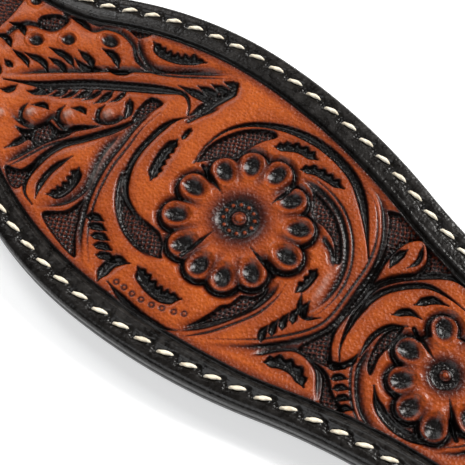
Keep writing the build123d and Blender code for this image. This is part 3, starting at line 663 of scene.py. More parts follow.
# ---- mesh helpers ----------------------------------------------------------------
def make_object(name, verts, faces, material, smooth=True, **attributes):
    mesh = bpy.data.meshes.new(name)
    mesh.from_pydata(np.asarray(verts, float).reshape(-1, 3), [], faces)
    mesh.validate()
    mesh.polygons.foreach_set("use_smooth", [smooth] * len(mesh.polygons))
    for key, values in attributes.items():
        layer = mesh.attributes.new(key, "FLOAT", "POINT")
        layer.data.foreach_set("value", np.asarray(values, np.float32).ravel())
    mesh.materials.append(material)
    obj = bpy.data.objects.new(name, mesh)
    bpy.context.collection.objects.link(obj)
    return obj


def quads(rows, cols, close_rows=False, close_cols=False, flip=False):
    """Faces of a grid of points, joined up at the ends where asked."""
    i = np.arange(rows if close_rows else rows - 1)[:, None]
    j = np.arange(cols if close_cols else cols - 1)[None]
    i2, j2 = (i + 1) % rows, (j + 1) % cols
    q = np.stack(np.broadcast_arrays(i * cols + j, i2 * cols + j, i2 * cols + j2, i * cols + j2), -1)
    q = q.reshape(-1, 4)
    return (q[:, ::-1] if flip else q).tolist()


def tube(rows, cols):
    """Faces of a tube of rings, closed by a face at each end."""
    last = (rows - 1) * cols
    ends = [list(range(cols)), list(range(last, last + cols))[::-1]]
    return quads(rows, cols, close_cols=True) + ends


def even_faces(obj):
    """Makes the faces of each closed part of a mesh look the same way, outwards."""
    bm = bmesh.new()
    bm.from_mesh(obj.data)
    bmesh.ops.recalc_face_normals(bm, faces=bm.faces)
    bm.to_mesh(obj.data)
    bm.free()


def face_outwards(obj):
    """Turns a closed mesh's faces outwards."""
    bm = bmesh.new()
    bm.from_mesh(obj.data)
    bmesh.ops.remove_doubles(bm, verts=bm.verts, dist=1e-7)
    bmesh.ops.recalc_face_normals(bm, faces=bm.faces)
    if bm.calc_volume(signed=True) < 0:
        bmesh.ops.reverse_faces(bm, faces=bm.faces)
    bm.to_mesh(obj.data)
    bm.free()


def cut_away(obj, cutters, own_layers=False):
    """Takes closed cutter meshes out of a piece; own_layers is for one that lies on itself."""
    for cutter in cutters:
        face_outwards(cutter)
        change = obj.modifiers.new("cut", "BOOLEAN")
        change.operation, change.solver, change.object = "DIFFERENCE", "EXACT", cutter
        change.use_self = own_layers
    bpy.context.view_layer.update()
    mesh = bpy.data.meshes.new_from_object(obj.evaluated_get(bpy.context.evaluated_depsgraph_get()))
    obj.modifiers.clear()
    old, obj.data = obj.data, mesh
    bpy.data.meshes.remove(old)
    for cutter in cutters:
        bpy.data.objects.remove(cutter)


def finish_piece(obj, body, slot, *nodes):
    """Ties a piece to its body and hides the CAD nodes that it replaces; slot is not used."""
    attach(obj, body)
    if nodes:
        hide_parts(*nodes)
    return obj


# ---- materials -----------------------------------------------------------------------
def new_material(name):
    material = bpy.data.materials.new(name)
    material.use_nodes = True
    tree = material.node_tree
    return material, tree, tree.nodes["Principled BSDF"]


def node(tree, kind, inputs=None, **settings):
    made = tree.nodes.new(kind)
    for key, value in settings.items():
        setattr(made, key, value)
    for key, value in (inputs or {}).items():
        if isinstance(value, bpy.types.NodeSocket):
            tree.links.new(value, made.inputs[key])
        else:
            made.inputs[key].default_value = value
    return made


def object_coords(tree):
    return node(tree, "ShaderNodeTexCoord").outputs["Object"]


def set_inputs(shader, **values):
    """Sets sockets of a shader; an underscore in a name stands for a space."""
    for key, value in values.items():
        shader.inputs[key.replace("_", " ")].default_value = value


def ramp(tree, fac, *stops):
    made = node(tree, "ShaderNodeValToRGB", {"Fac": fac})
    band = made.color_ramp
    while len(band.elements) < len(stops):
        band.elements.new(0.5)
    for element, (at, color) in zip(band.elements, stops):
        element.position = at
        element.color = (*color, 1) if isinstance(color, tuple) else (color, color, color, 1)
    return made.outputs["Color"]


def noise(tree, coords, scale, detail=3.0, roughness=0.55, distortion=0.0):
    inputs = {"Vector": coords, "Scale": scale, "Detail": detail,
              "Roughness": roughness, "Distortion": distortion}
    return node(tree, "ShaderNodeTexNoise", inputs).outputs["Fac"]


def feed(tree, socket, value):
    """Links a socket, or sets its value."""
    if isinstance(value, bpy.types.NodeSocket):
        tree.links.new(value, socket)
    else:
        socket.default_value = (*value, 1) if isinstance(value, tuple) else value


def math_node(tree, operation, a, b, clamp=False):
    made = tree.nodes.new("ShaderNodeMath")
    made.operation, made.use_clamp = operation, clamp
    feed(tree, made.inputs[0], a)
    feed(tree, made.inputs[1], b)
    return made.outputs[0]


def times(tree, a, b):
    return math_node(tree, "MULTIPLY", a, b)


def plus(tree, a, b, clamp=False):
    return math_node(tree, "ADD", a, b, clamp)


def mix(tree, fac, a, b):
    made = node(tree, "ShaderNodeMix", data_type="RGBA")
    for index, value in ((0, fac), (6, a), (7, b)):
        feed(tree, made.inputs[index], value)
    return made.outputs[2]


def bump(tree, shader, height_out, strength, distance):
    inputs = {"Height": height_out, "Strength": strength, "Distance": distance}
    made = node(tree, "ShaderNodeBump", inputs)
    tree.links.new(made.outputs["Normal"], shader.inputs["Normal"])


def attribute(tree, name):
    return node(tree, "ShaderNodeAttribute", attribute_name=name).outputs["Fac"]


def leather_grain(tree, coords):
    """Fine pebbled grain: small cells with pores, broken up by a softer noise."""
    cells = node(tree, "ShaderNodeTexVoronoi", {"Vector": coords, "Scale": 1500.0}).outputs["Distance"]
    fine = noise(tree, coords, 2600.0, 2.0)
    broad = noise(tree, coords, 420.0, 3.0)
    soft = plus(tree, times(tree, fine, 0.35), times(tree, broad, 0.5))
    return plus(tree, times(tree, cells, 0.55), soft)


def tooled_material():
    """Carved leather: tan through red-brown to black by its dye, with a black-dyed border."""
    material, tree, shader = new_material("tooled_leather")
    coords = object_coords(tree)
    cloud = noise(tree, coords, 160.0, 4.0)
    speck = noise(tree, coords, 900.0, 3.0, 0.7)
    border = attribute(tree, "border")
    cloudy = times(tree, math_node(tree, "SUBTRACT", cloud, 0.5), 0.22)
    specked = times(tree, math_node(tree, "SUBTRACT", speck, 0.5), 0.26)
    depth = plus(tree, plus(tree, attribute(tree, "dye"), cloudy), specked, clamp=True)
    tan = ramp(tree, depth, (0.0, (0.33, 0.064, 0.006)), (0.14, (0.215, 0.036, 0.0035)),
               (0.36, (0.130, 0.020, 0.003)), (0.6, (0.040, 0.006, 0.0025)),
               (0.84, (0.006, 0.0022, 0.0018)), (1.0, (0.002, 0.0013, 0.0012)))
    # painted highlight: patches of grey mixed into the tan where the highlight attribute is set
    patches = ramp(tree, noise(tree, coords, 700.0, 4.0, 0.7), (0.3, 0.25), (0.7, 1.0))
    painted_highlight_at = times(tree, attribute(tree, "sheen"), patches)
    tan = mix(tree, times(tree, painted_highlight_at, 0.62), tan, (0.30, 0.26, 0.24))
    # mottled grey on the black border: part random wear, part painted highlight
    mottle = ramp(tree, noise(tree, coords, 520.0, 5.0, 0.72, 0.4), (0.38, 0.0), (0.68, 1.0))
    worn_and_sheen = math_node(tree, "MULTIPLY", mottle, plus(tree, 0.10, painted_highlight_at), clamp=True)
    black = mix(tree, worn_and_sheen, (0.0022, 0.0016, 0.0013), (0.042, 0.038, 0.035))
    tree.links.new(mix(tree, border, tan, black), shader.inputs["Base Color"])
    rough_tan = ramp(tree, plus(tree, depth, times(tree, speck, 0.4)), (0.0, 0.46), (0.5, 0.38), (1.0, 0.30))
    rough_black = ramp(tree, mottle, (0.0, 0.24), (1.0, 0.42))
    tree.links.new(mix(tree, border, rough_tan, rough_black), shader.inputs["Roughness"])
    set_inputs(shader, Specular_IOR_Level=0.12, Coat_Weight=0.13, Coat_Roughness=0.17)
    less_on_border = math_node(tree, "SUBTRACT", 1.0, times(tree, border, 0.6))
    bump(tree, shader, times(tree, leather_grain(tree, coords), less_on_border), 0.8, 0.0004)
    return material


def dyed_material(name, color, worn_color, edge_color, rough=0.42):
    """Black-dyed strap leather with grain, handling wear and burnished edges."""
    material, tree, shader = new_material(name)
    coords = object_coords(tree)
    wear = ramp(tree, noise(tree, coords, 240.0, 5.0, 0.7, 0.3), (0.42, 0.0), (0.75, 1.0))
    base = mix(tree, times(tree, wear, 0.55), color, worn_color)
    edge = attribute(tree, "edge")
    tree.links.new(mix(tree, edge, base, edge_color), shader.inputs["Base Color"])
    rough_face = ramp(tree, wear, (0.0, rough), (1.0, rough + 0.14))
    rough_edge = ramp(tree, wear, (0.0, 0.24), (1.0, 0.36))
    tree.links.new(mix(tree, edge, rough_face, rough_edge), shader.inputs["Roughness"])
    set_inputs(shader, Specular_IOR_Level=0.3, Coat_Weight=0.08, Coat_Roughness=0.3)
    bump(tree, shader, leather_grain(tree, coords), 0.55, 0.0003)
    return material


def thread_material():
    """Waxed white thread, a little soiled."""
    material, tree, shader = new_material("thread")
    coords = object_coords(tree)
    soil = noise(tree, coords, 600.0, 4.0, 0.7)
    fibre = noise(tree, coords, 5200.0, 2.0)
    color = ramp(tree, soil, (0.25, (0.42, 0.33, 0.22)), (0.5, (0.72, 0.64, 0.50)), (0.8, (0.86, 0.81, 0.70)))
    streaked = mix(tree, times(tree, fibre, 0.25), color, (0.50, 0.42, 0.31))
    tree.links.new(streaked, shader.inputs["Base Color"])
    set_inputs(shader, Roughness=0.62, Sheen_Weight=0.25)
    bump(tree, shader, fibre, 0.5, 0.00012)
    return material


def steel_material(name, color, rough):
    """Cast stainless steel, softly polished: fine drag lines, spots and handling marks."""
    material, tree, shader = new_material(name)
    coords = object_coords(tree)
    stretch = node(tree, "ShaderNodeMapping", {"Vector": coords, "Scale": (1.0, 14.0, 5.0)})
    drag = noise(tree, stretch.outputs["Vector"], 420.0, 4.0, 0.65)
    haze = noise(tree, coords, 55.0, 4.0, 0.6)
    dark = tuple(c * 0.72 for c in color)
    spots = ramp(tree, haze, (0.35, 0.0), (0.7, 1.0))
    tree.links.new(mix(tree, spots, color, dark), shader.inputs["Base Color"])
    scuffs = plus(tree, times(tree, drag, 0.5), times(tree, haze, 0.5))
    rough_metal = ramp(tree, scuffs, (0.3, rough * 0.7), (0.7, rough * 1.5))
    tree.links.new(rough_metal, shader.inputs["Roughness"])
    set_inputs(shader, Metallic=1.0)
    bump(tree, shader, drag, 0.18, 0.0001)
    return material


TOOLED = tooled_material()
STRAP = dyed_material("strap_leather", (0.012, 0.0095, 0.008), (0.034, 0.028, 0.024),
                      (0.006, 0.005, 0.005))
LINING = dyed_material("lining_leather", (0.014, 0.012, 0.010), (0.040, 0.034, 0.028),
                       (0.0065, 0.006, 0.006), 0.6)
THREAD = thread_material()
STEEL = steel_material("hardware", (0.66, 0.65, 0.62), 0.22)
SPRING = steel_material("spring_steel", (0.42, 0.42, 0.42), 0.32)


# ---- covers ----------------------------------------------------------------------------
STITCH_PITCH, STITCH_LENGTH, STITCH_WIDTH, STITCH_SLANT = 4.75, 3.2, 0.74, 16.0
COVER_ROLL = 1.3                   # radius of a cover's rounded top edge
ROUND_STEPS = np.array([0, 0.04, 0.15, 0.35, 0.6, 0.95, 1.35])     # rows over a rounded edge
EDGE_STEPS = np.append(ROUND_STEPS, 1.8)
RELIEF = 1.25                      # carved heights are drawn for 1
SUNK = 0.12                        # carved leather's level, below the design's top
STITCH_BED = 1.6                   # reach of the dents that a stitch hole makes
STITCH_PAST = 0.15                 # a stitch's hole, past its end
END_ROOM = 2.3                     # first even row, from a cover's end
FINE_STEP, PLAIN_STEP = 0.2, 0.5   # mesh along a cover
FIELD_START = PANEL_START + TAB_LENGTH
FIELD_END = PANEL_END - TAB_LENGTH


def inset_at(x, y):
    """Distance in from the shoulder piece's cut edge."""
    half = edge_half(x)
    slope = (edge_half(x + 0.4) - edge_half(x - 0.4)) / 0.8
    straight = (half - np.abs(y)) / np.sqrt(1 + slope ** 2)
    from_end = np.minimum(x - PANEL_START, PANEL_END - x)
    corner_y = np.abs(y) - (NECK_HALF - TAB_CORNER)
    round_corner = TAB_CORNER - np.hypot(TAB_CORNER - from_end, corner_y)
    in_corner = (from_end < TAB_CORNER) & (corner_y > 0)
    near_end = from_end < TAB_LENGTH
    result = np.where(near_end, np.minimum(NECK_HALF - np.abs(y), from_end), straight)
    return np.maximum(np.where(in_corner, round_corner, result), 0)


def stitch_places():
    """Middle and direction of each stitch along the row, all the way round."""
    x = np.linspace(PANEL_START + STITCH_INSET, PANEL_END - STITCH_INSET, 4000)
    y = edge_half(x, STITCH_INSET)
    row = np.vstack([np.stack([x, y], 1), np.stack([x, -y], 1)[::-1], [[x[0], y[0]]]])
    seg = np.hypot(*np.diff(row, axis=0).T)
    at = np.concatenate([[0], np.cumsum(seg)])
    count = int(at[-1] / STITCH_PITCH)
    s = (np.arange(count) + 0.5) * at[-1] / count

    def point(d):
        return np.stack([np.interp(d, at, row[:, 0]), np.interp(d, at, row[:, 1])], 1)

    way = point(s + 1.0) - point(s - 1.0)
    return point(s), way / np.hypot(*way.T)[:, None]


STITCH_MIDDLE, STITCH_WAY = stitch_places()


def clear_of_chapes(points):
    """Which places aren't under a chape's upper leg."""
    x, y = points[:, 0], np.abs(points[:, 1])
    chest = (x < PANEL_START + CHAPE_LEG + 1.5) & (y < CHEST_W / 2 + 1)
    outer = (x > PANEL_END - CHAPE_LEG - 1.5) & (y < TUG_W / 2 + 1)
    return ~(chest | outer)


def slanted_way():
    """Direction of each stitch, which lies askew to its row."""
    c, s = math.cos(math.radians(STITCH_SLANT)), math.sin(math.radians(STITCH_SLANT))
    x, y = STITCH_WAY.T
    return np.stack([x * c - y * s, x * s + y * c], 1)


def sample(field, x, y):
    """A carved field at places in the scallop's own frame."""
    u = np.clip((x - GRID_X[0]) / STEP, 0, len(GRID_X) - 1.001)
    v = np.clip((y - GRID_Y[0]) / STEP, 0, len(GRID_Y) - 1.001)
    i, j = u.astype(int), v.astype(int)
    a, b = u - i, v - j
    return (field[j, i] * (1 - a) * (1 - b) + field[j, i + 1] * a * (1 - b)
            + field[j + 1, i] * (1 - a) * b + field[j + 1, i + 1] * a * b)


def cover_top(x, y):
    """Height, dye, border and painted highlight of a cover's upper face."""
    inset = inset_at(x, y)
    index = np.clip(np.floor((x - FIELD_START) / PERIOD), 0, SCALLOPS - 1)
    tile_x = flower_at(index) - x
    tile_y = -y
    width = np.where(tile_y > 0, FIELD_TOP, FIELD_BOTTOM - 0.8 * np.exp(-((tile_x - 25) / 12) ** 2))
    field = np.minimum(inset - width, np.minimum(x - FIELD_START, FIELD_END - x))
    within = ease(field / 0.55)
    carved = sample(height, tile_x, tile_y)
    z = PANEL_TOP - SUNK + RELIEF * carved * within
    roll = np.clip(1 - inset / COVER_ROLL, 0, 1)
    z -= COVER_ROLL * (1 - np.sqrt(np.maximum(1 - roll ** 2, 0)))
    # the line round the field, the stitches' groove, and the raised bands on both sides of it
    line = np.exp(-((field + 0.35) / 0.36) ** 2)
    z -= 0.75 * line + 0.35 * np.exp(-((inset - STITCH_INSET) / 0.75) ** 4)
    z += 0.14 * np.exp(-((field + 1.15) / 0.28) ** 2) * (inset > 2)
    z += 0.12 * np.exp(-((inset - 5.2) / 1.3) ** 2)
    color = np.maximum(sample(dye, tile_x, tile_y), 0.95 * np.exp(-(np.maximum(field, 0) / 0.5) ** 2))
    color = np.maximum(color, 0.5 * np.exp(-(np.maximum(field, 0) / 1.4) ** 2))
    border = ease((0.25 - field) / 0.3)
    # painted highlights on the black border: grey bands by the stitches, weighted differently on the two long
    # edges, and a grey line on the ridge by the field
    inner_band = np.exp(-((inset - 5.0) / 1.5) ** 2)
    outer_band = np.exp(-((inset - 1.5) / 0.9) ** 2)
    grey = np.where(tile_y > 0, 0.35 * inner_band + 0.55 * outer_band, 0.75 * inner_band + 0.2 * outer_band)
    ridge = np.exp(-((field + 1.05) / 0.3) ** 2)
    painted_shine = np.where(field > 0, sample(sheen, tile_x, tile_y), np.maximum(grey, 0.6 * ridge))
    way = slanted_way()
    flat_x, flat_y = x.ravel(), y.ravel()
    for sign in (-1, 1):
        holes = STITCH_MIDDLE + sign * way * (STITCH_LENGTH / 2 + STITCH_PAST)
        for upper in (True, False):
            mine = holes[(holes[:, 1] > 0) == upper]
            mine = mine[np.argsort(mine[:, 0])]
            pick = (np.abs(inset.ravel() - STITCH_INSET) < STITCH_BED) & ((flat_y > 0) == upper)
            k = np.clip(np.searchsorted(mine[:, 0], flat_x[pick]), 1, len(mine) - 1)
            d = np.minimum(np.hypot(flat_x[pick] - mine[k - 1, 0], flat_y[pick] - mine[k - 1, 1]),
                           np.hypot(flat_x[pick] - mine[k, 0], flat_y[pick] - mine[k, 1]))
            drop = np.zeros(x.size)
            drop[pick] = 0.5 * np.exp(-(d / 0.5) ** 2)
            z -= drop.reshape(x.shape)
    return z, color, border, np.clip(painted_shine, 0, 1)


def stations(fine):
    """Places along a cover: closer together on the fine scallops and at the rounded ends."""
    parts = [PANEL_START + EDGE_STEPS]
    for k in range(SCALLOPS):
        low = PANEL_START + END_ROOM if k == 0 else FIELD_START + k * PERIOD
        high = PANEL_END - END_ROOM if k == SCALLOPS - 1 else FIELD_START + (k + 1) * PERIOD
        step = FINE_STEP if k in fine else PLAIN_STEP
        n = int((high - low) / step)
        parts.append(low + np.arange(n) * (high - low) / n)
    return np.concatenate(parts + [PANEL_END - EDGE_STEPS[::-1]])


def cover(side, fine, across):
    """Carved cover of a shoulder piece; fine lists the scallops with a close mesh."""
    middle = np.linspace(-1, 1, across)
    x = stations(fine)
    half = edge_half(x)[:, None]
    inner = (half - 1.6) * middle[None]
    y = np.concatenate([-(half - ROUND_STEPS), inner, (half - ROUND_STEPS)[:, ::-1]], axis=1)
    z, color, border, painted_shine = cover_top(np.broadcast_to(x[:, None], y.shape), y)
    # the side, down to the ply line, and the hidden underside
    down = np.array([(0.0, 2.3), (0.05, 1.2), (0.05, 0.45), (0.3, 0.12), (0.75, 0.0)])
    left_y, right_y = -(half - down[::-1, 0]), half - down[:, 0]
    low_z = np.broadcast_to(LINING_T + down[:, 1], (len(x), len(down)))
    ys = np.concatenate([left_y, y, right_y], axis=1)
    zs = np.concatenate([low_z[:, ::-1], z, low_z], axis=1)
    xs = np.broadcast_to(x[:, None], ys.shape)
    fill = np.ones((len(x), len(down)))
    color = np.concatenate([fill, color, fill], axis=1)
    border = np.concatenate([fill, border, fill], axis=1)
    # the sides carry a little painted highlight too
    painted_shine = np.concatenate([fill * 0.1, painted_shine, fill * 0.1], axis=1)
    rows, cols = ys.shape
    faces = tube(rows, cols)
    obj = make_object(side + "_cover", place(side, xs, ys, zs), faces, TOOLED,
                      dye=color, border=border, sheen=painted_shine)
    even_faces(obj)
    return finish_piece(obj, side + "_shoulder", "tooled_leather", side + "_tooled_cover")


def stitching(side):
    """Two-strand stitches round the cover, and the same row on the lining's underside."""
    rows, ring = 11, 10
    s = np.linspace(-1, 1, rows)[:, None]
    angle = np.linspace(0, 2 * math.pi, ring, endpoint=False)[None]
    lobes = 1 + 0.17 * np.cos(2 * (angle - 2.6 * s))
    taper_ends = np.sqrt(np.clip(1 - np.abs(s) ** 5, 0.05, 1))
    radius = STITCH_WIDTH / 2 * lobes * taper_ends
    verts, faces = [], []
    pattern = np.array(quads(rows, ring, close_cols=True))
    show = clear_of_chapes(STITCH_MIDDLE)
    for top in (True, False):
        for m, w in zip(STITCH_MIDDLE[show], slanted_way()[show]):
            normal = np.array([-w[1], w[0]])
            along = s * STITCH_LENGTH / 2
            sway = radius * np.cos(angle)
            x = m[0] + along * w[0] + sway * normal[0]
            y = m[1] + along * w[1] + sway * normal[1]
            arch = -0.55 * np.abs(s) ** 3
            if top:
                z = PANEL_TOP - 0.16 + arch + radius * np.sin(angle) * 0.8
            else:
                z = 0.16 - arch * 0.9 - radius * np.sin(angle) * 0.7
            base = len(verts) * rows * ring
            faces += (pattern + base).tolist()
            faces += [list(range(base, base + ring)),
                      list(range(base + (rows - 1) * ring, base + rows * ring))[::-1]]
            verts.append(place(side, x, y, z).reshape(-1, 3))
    obj = make_object(side + "_stitching", np.vstack(verts), faces, THREAD)
    even_faces(obj)
    return finish_piece(obj, side + "_shoulder", "thread", side + "_edge_stitching")


def box_cutter(put, x0, x1, half, z0, z1):
    """Closed box between two places along a piece, two heights, and half its width each way."""
    corners = [(x, y, z) for x in (x0, x1) for y in (-half, half) for z in (z0, z1)]
    faces = [(0, 1, 3, 2), (4, 6, 7, 5), (0, 4, 5, 1), (2, 3, 7, 6), (0, 2, 6, 4), (1, 5, 7, 3)]
    c = np.array(corners)
    return make_object("cutter", put(c[:, 0], c[:, 1], c[:, 2]), faces, STRAP)


def lining(side):
    """Lining leather, let in for the chapes' lower legs and grooved for the stitches."""
    ends = np.array([0, 0.1, 0.35, 0.75, 1.3, 2.2])
    between = np.arange(PANEL_START + 3, PANEL_END - 3, 1.0)
    x = np.concatenate([PANEL_START + ends, between, PANEL_END - ends[::-1]])
    half = edge_half(x)[:, None]
    under = np.array([(0.55, LINING_T), (0.12, LINING_T - 0.12), (0.0, LINING_T - 0.5), (0.0, 1.5),
                      (0.12, 0.8),
                      (0.4, 0.32), (0.8, 0.1), (1.3, 0.02), (2.2, 0.0), (2.5, 0.12), (3.0, 0.3),
                      (3.5, 0.12),
                      (3.9, 0.0), (8.0, 0.0), (14.0, 0.0)])
    inset, z = under[:, 0], under[:, 1]
    from_end = np.minimum(x - PANEL_START, PANEL_END - x)[:, None]
    end_rise = 1.3 * (1 - np.sqrt(1 - np.clip(1 - from_end / 1.3, 0, 1) ** 2))
    zs = np.minimum(np.maximum(z[None], end_rise), LINING_T)
    ys = np.concatenate([-(half - inset), (half - inset)[:, ::-1]], axis=1)
    zs = np.concatenate([zs, zs[:, ::-1]], axis=1)
    edge = np.broadcast_to(np.clip((1.6 - inset) / 0.8, 0, 1), (len(x), len(inset)))
    edge = np.concatenate([edge, edge[:, ::-1]], axis=1)
    rows, cols = ys.shape
    xs = np.broadcast_to(x[:, None], ys.shape)
    faces = tube(rows, cols)
    obj = make_object(side + "_lining_leather", place(side, xs, ys, zs), faces, LINING, edge=edge)
    face_outwards(obj)
    put = functools.partial(place, side)
    reach = CHAPE_LEG + LAY_GAP
    cut_away(obj, [
        box_cutter(put, PANEL_START - 2, PANEL_START + reach, CHEST_W / 2 + LAY_GAP, -1, LINING_T + 1),
        box_cutter(put, PANEL_END - reach, PANEL_END + 2, TUG_W / 2 + LAY_GAP, -1, LINING_T + 1)])
    return finish_piece(obj, side + "_shoulder", "lining_leather", side + "_lining")


# ---- straps ------------------------------------------------------------------------------
def arc(centre, radius, start, turn, count=20):
    """Points of an arc in the side view, from an angle and through a turn, in degrees."""
    a = np.radians(start + np.linspace(0, turn, count))
    return [(centre[0] + radius * math.cos(t), centre[1] + radius * math.sin(t)) for t in a]


def bend_corners(points, reach=4.0):
    """Rounds the corners between a strap's straight runs; close points, on folds, stay."""
    p = np.asarray(points, float)
    out = [p[0]]
    for a, b, c in zip(p, p[1:], p[2:]):
        before, after = math.dist(a, b), math.dist(b, c)
        if min(before, after) < 1.2 or max(before, after) < 3:
            out.append(b)
            continue
        d = min(reach, 0.45 * before, 0.45 * after)
        p0, p2 = b + (a - b) / before * d, b + (c - b) / after * d
        for t in (0, 0.25, 0.5, 0.75, 1):
            out.append((1 - t) ** 2 * p0 + 2 * t * (1 - t) * b + t * t * p2)
    out.append(p[-1])
    dense = [out[0]]
    for a, b in zip(out, out[1:]):
        n = max(1, int(math.dist(a, b) / 2.5))
        dense += [a + (b - a) * k / n for k in range(1, n + 1)]
    return np.array(dense)


CREASE_AT, CREASE_DEPTH = 2.05, 0.26                                     # line along each edge
TIP_STEPS = [10, 8, 6.5, 5, 3.8, 2.7, 1.8, 1.1, 0.6, 0.25, 0.08, 0.02]    # from a pointed end
END_STEPS = [0.9, 0.55, 0.25, 0.06]                                      # from a square end


def strap(name, put, points, width, body, nodes, thickness=STRAP_T, grain=1, tip=False,
          cutters=(), own_layers=False):
    """Leather strap along a side-view line; grain is the side of the line its face is on."""
    line = bend_corners(points)
    seg = np.hypot(*np.diff(line, axis=0).T)
    s = np.concatenate([[0], np.cumsum(seg)])
    if tip:
        extra = s[-1] - np.array([width / 2] + TIP_STEPS)
    else:
        extra = s[-1] - np.array(END_STEPS)
    extra = np.concatenate([extra, END_STEPS[::-1]])
    at = np.unique(np.round(np.concatenate([s, extra]), 4))
    line = np.stack([np.interp(at, s, line[:, 0]), np.interp(at, s, line[:, 1])], 1)
    way = np.gradient(line, axis=0)
    way /= np.maximum(np.hypot(*way.T), 1e-9)[:, None]
    normal = np.stack([-way[:, 1], way[:, 0]], 1) * grain
    h, half = thickness / 2, width / 2
    upper = [(0.0, 0.0), (0.06, 0.55), (0.25, 0.82), (0.6, 0.96), (1.1, 1.0), (1.75, 1.0)]
    upper = [(i, k * h) for i, k in upper]
    upper += [(CREASE_AT, h - CREASE_DEPTH), (2.35, h), (3.2, h), (half * 0.7, h), (half, h)]
    lower = [(0.06, -0.55 * h), (0.3, -0.85 * h), (0.75, -0.98 * h), (1.4, -h), (half, -h)]
    ring = [(half - i, z) for i, z in lower[::-1]] + [(half - i, z) for i, z in upper]
    ring += [(-(half - i), z) for i, z in upper[-2::-1]] + [(-(half - i), z) for i, z in lower[:-1]]
    ring = np.array(ring)
    from_end = np.minimum(at, at[-1] - at)
    squeeze = np.sqrt(np.clip(1 - np.clip(1 - from_end / 0.9, 0, 1) ** 2, 0.15, 1))
    scale = np.ones(len(at))
    if tip:
        into = np.clip(1 - (at[-1] - at) / half, 0, 1)
        scale = np.sqrt(np.clip(1 - into ** 2, 0.0009, 1))
    y = ring[None, :, 0] * scale[:, None]
    n = ring[None, :, 1] * squeeze[:, None]
    x = line[:, :1] + normal[:, :1] * n
    z = line[:, 1:] + normal[:, 1:] * n
    from_side = half - np.abs(ring[:, 0])
    edge = np.clip((1.0 - from_side) / 0.6, 0, 1) + np.exp(-((from_side - CREASE_AT) / 0.2) ** 2)
    edge = np.maximum(np.broadcast_to(np.clip(edge, 0, 1), y.shape), np.clip(1.2 - from_end, 0, 1)[:, None])
    rows, cols = y.shape
    faces = tube(rows, cols)
    obj = make_object(name, put(x, y, z), faces, STRAP, edge=edge)
    face_outwards(obj)
    if cutters:
        cut_away(obj, list(cutters), own_layers)
    return finish_piece(obj, body, "strap_leather", *nodes)


# Heights and side-view points where a strap meets its buckle. x is the heel bar's place and
# floor the height that the strap lies on.
def heel_z(floor):
    return floor + HEEL_OUTER_R


def strap_end_z(floor):
    return floor + 2 * HEEL_OUTER_R + LAY_GAP + STRAP_T / 2


def front_z(floor):
    return strap_end_z(floor) + STRAP_T / 2 + LAY_GAP + BUCKLE_WIRE / 2


def heel_fold(x, floor):
    low = floor + STRAP_T / 2
    return [(x - BUCKLE_SLOPE, low)] + arc((x, heel_z(floor)), HEEL_LOOP_R + STRAP_T / 2, 270, 180)


def near_points(x, floor):
    return [(x, floor + 2 * HEEL_OUTER_R - STRAP_T / 2),
            (x - BUCKLE_SLOPE, floor + 1.5 * STRAP_T + LAY_GAP)]


def end_points(x, floor):
    lying = floor + 2.5 * STRAP_T + 2 * LAY_GAP
    top = strap_end_z(floor)
    return [(x + BUCKLE_LENGTH + BUCKLE_WIRE, top), (x, top), (x - BUCKLE_SLOPE, lying),
            (x - TIP_LENGTH, lying)]


def tongue_room(put, x, floor):
    """Cutters for the tongue's notch in the heel fold and its slot in the strap end."""
    half = TONGUE_WIRE / 2 + SLIP
    fold_top = floor + 2 * HEEL_OUTER_R
    rise = front_z(floor) - heel_z(floor)
    between = math.hypot(rise, BUCKLE_LENGTH)
    above = BUCKLE_WIRE / 2 + TONGUE_WIRE / 2 + SLIP
    angle = math.atan2(rise, BUCKLE_LENGTH) + math.asin(above / between)
    top = strap_end_z(floor) + STRAP_T / 2 - heel_z(floor)
    margin = half / math.sin(angle)
    near_end = (top - STRAP_T) / math.tan(angle + math.radians(TONGUE_LIFT)) - margin
    far_end = top / math.tan(angle) + margin
    notch = box_cutter(put, x - HEEL_OUTER_R - 1, x + HEEL_OUTER_R + 1, half, floor - 0.1, fold_top + 0.1)
    z0 = fold_top + LAY_GAP / 2
    slit = box_cutter(put, x + near_end, x + far_end, half, z0, z0 + STRAP_T + LAY_GAP)
    return notch, slit


def hole_cutter(put, x, z):
    """Round cutter through a strap at one adjustment hole."""
    n = 24
    a = np.linspace(0, 2 * math.pi, n, endpoint=False)
    xs = np.concatenate([x + HOLE_R * np.cos(a)] * 2)
    ys = np.concatenate([HOLE_R * np.sin(a)] * 2)
    zs = np.concatenate([np.full(n, z - 3.5), np.full(n, z + 3.5)])
    faces = [[i, (i + 1) % n, n + (i + 1) % n, n + i] for i in range(n)]
    faces += [list(range(n))[::-1], list(range(n, 2 * n))]
    return make_object("cutter", put(xs, ys, zs), faces, STRAP)


KEEPER_CORNER = 1.6


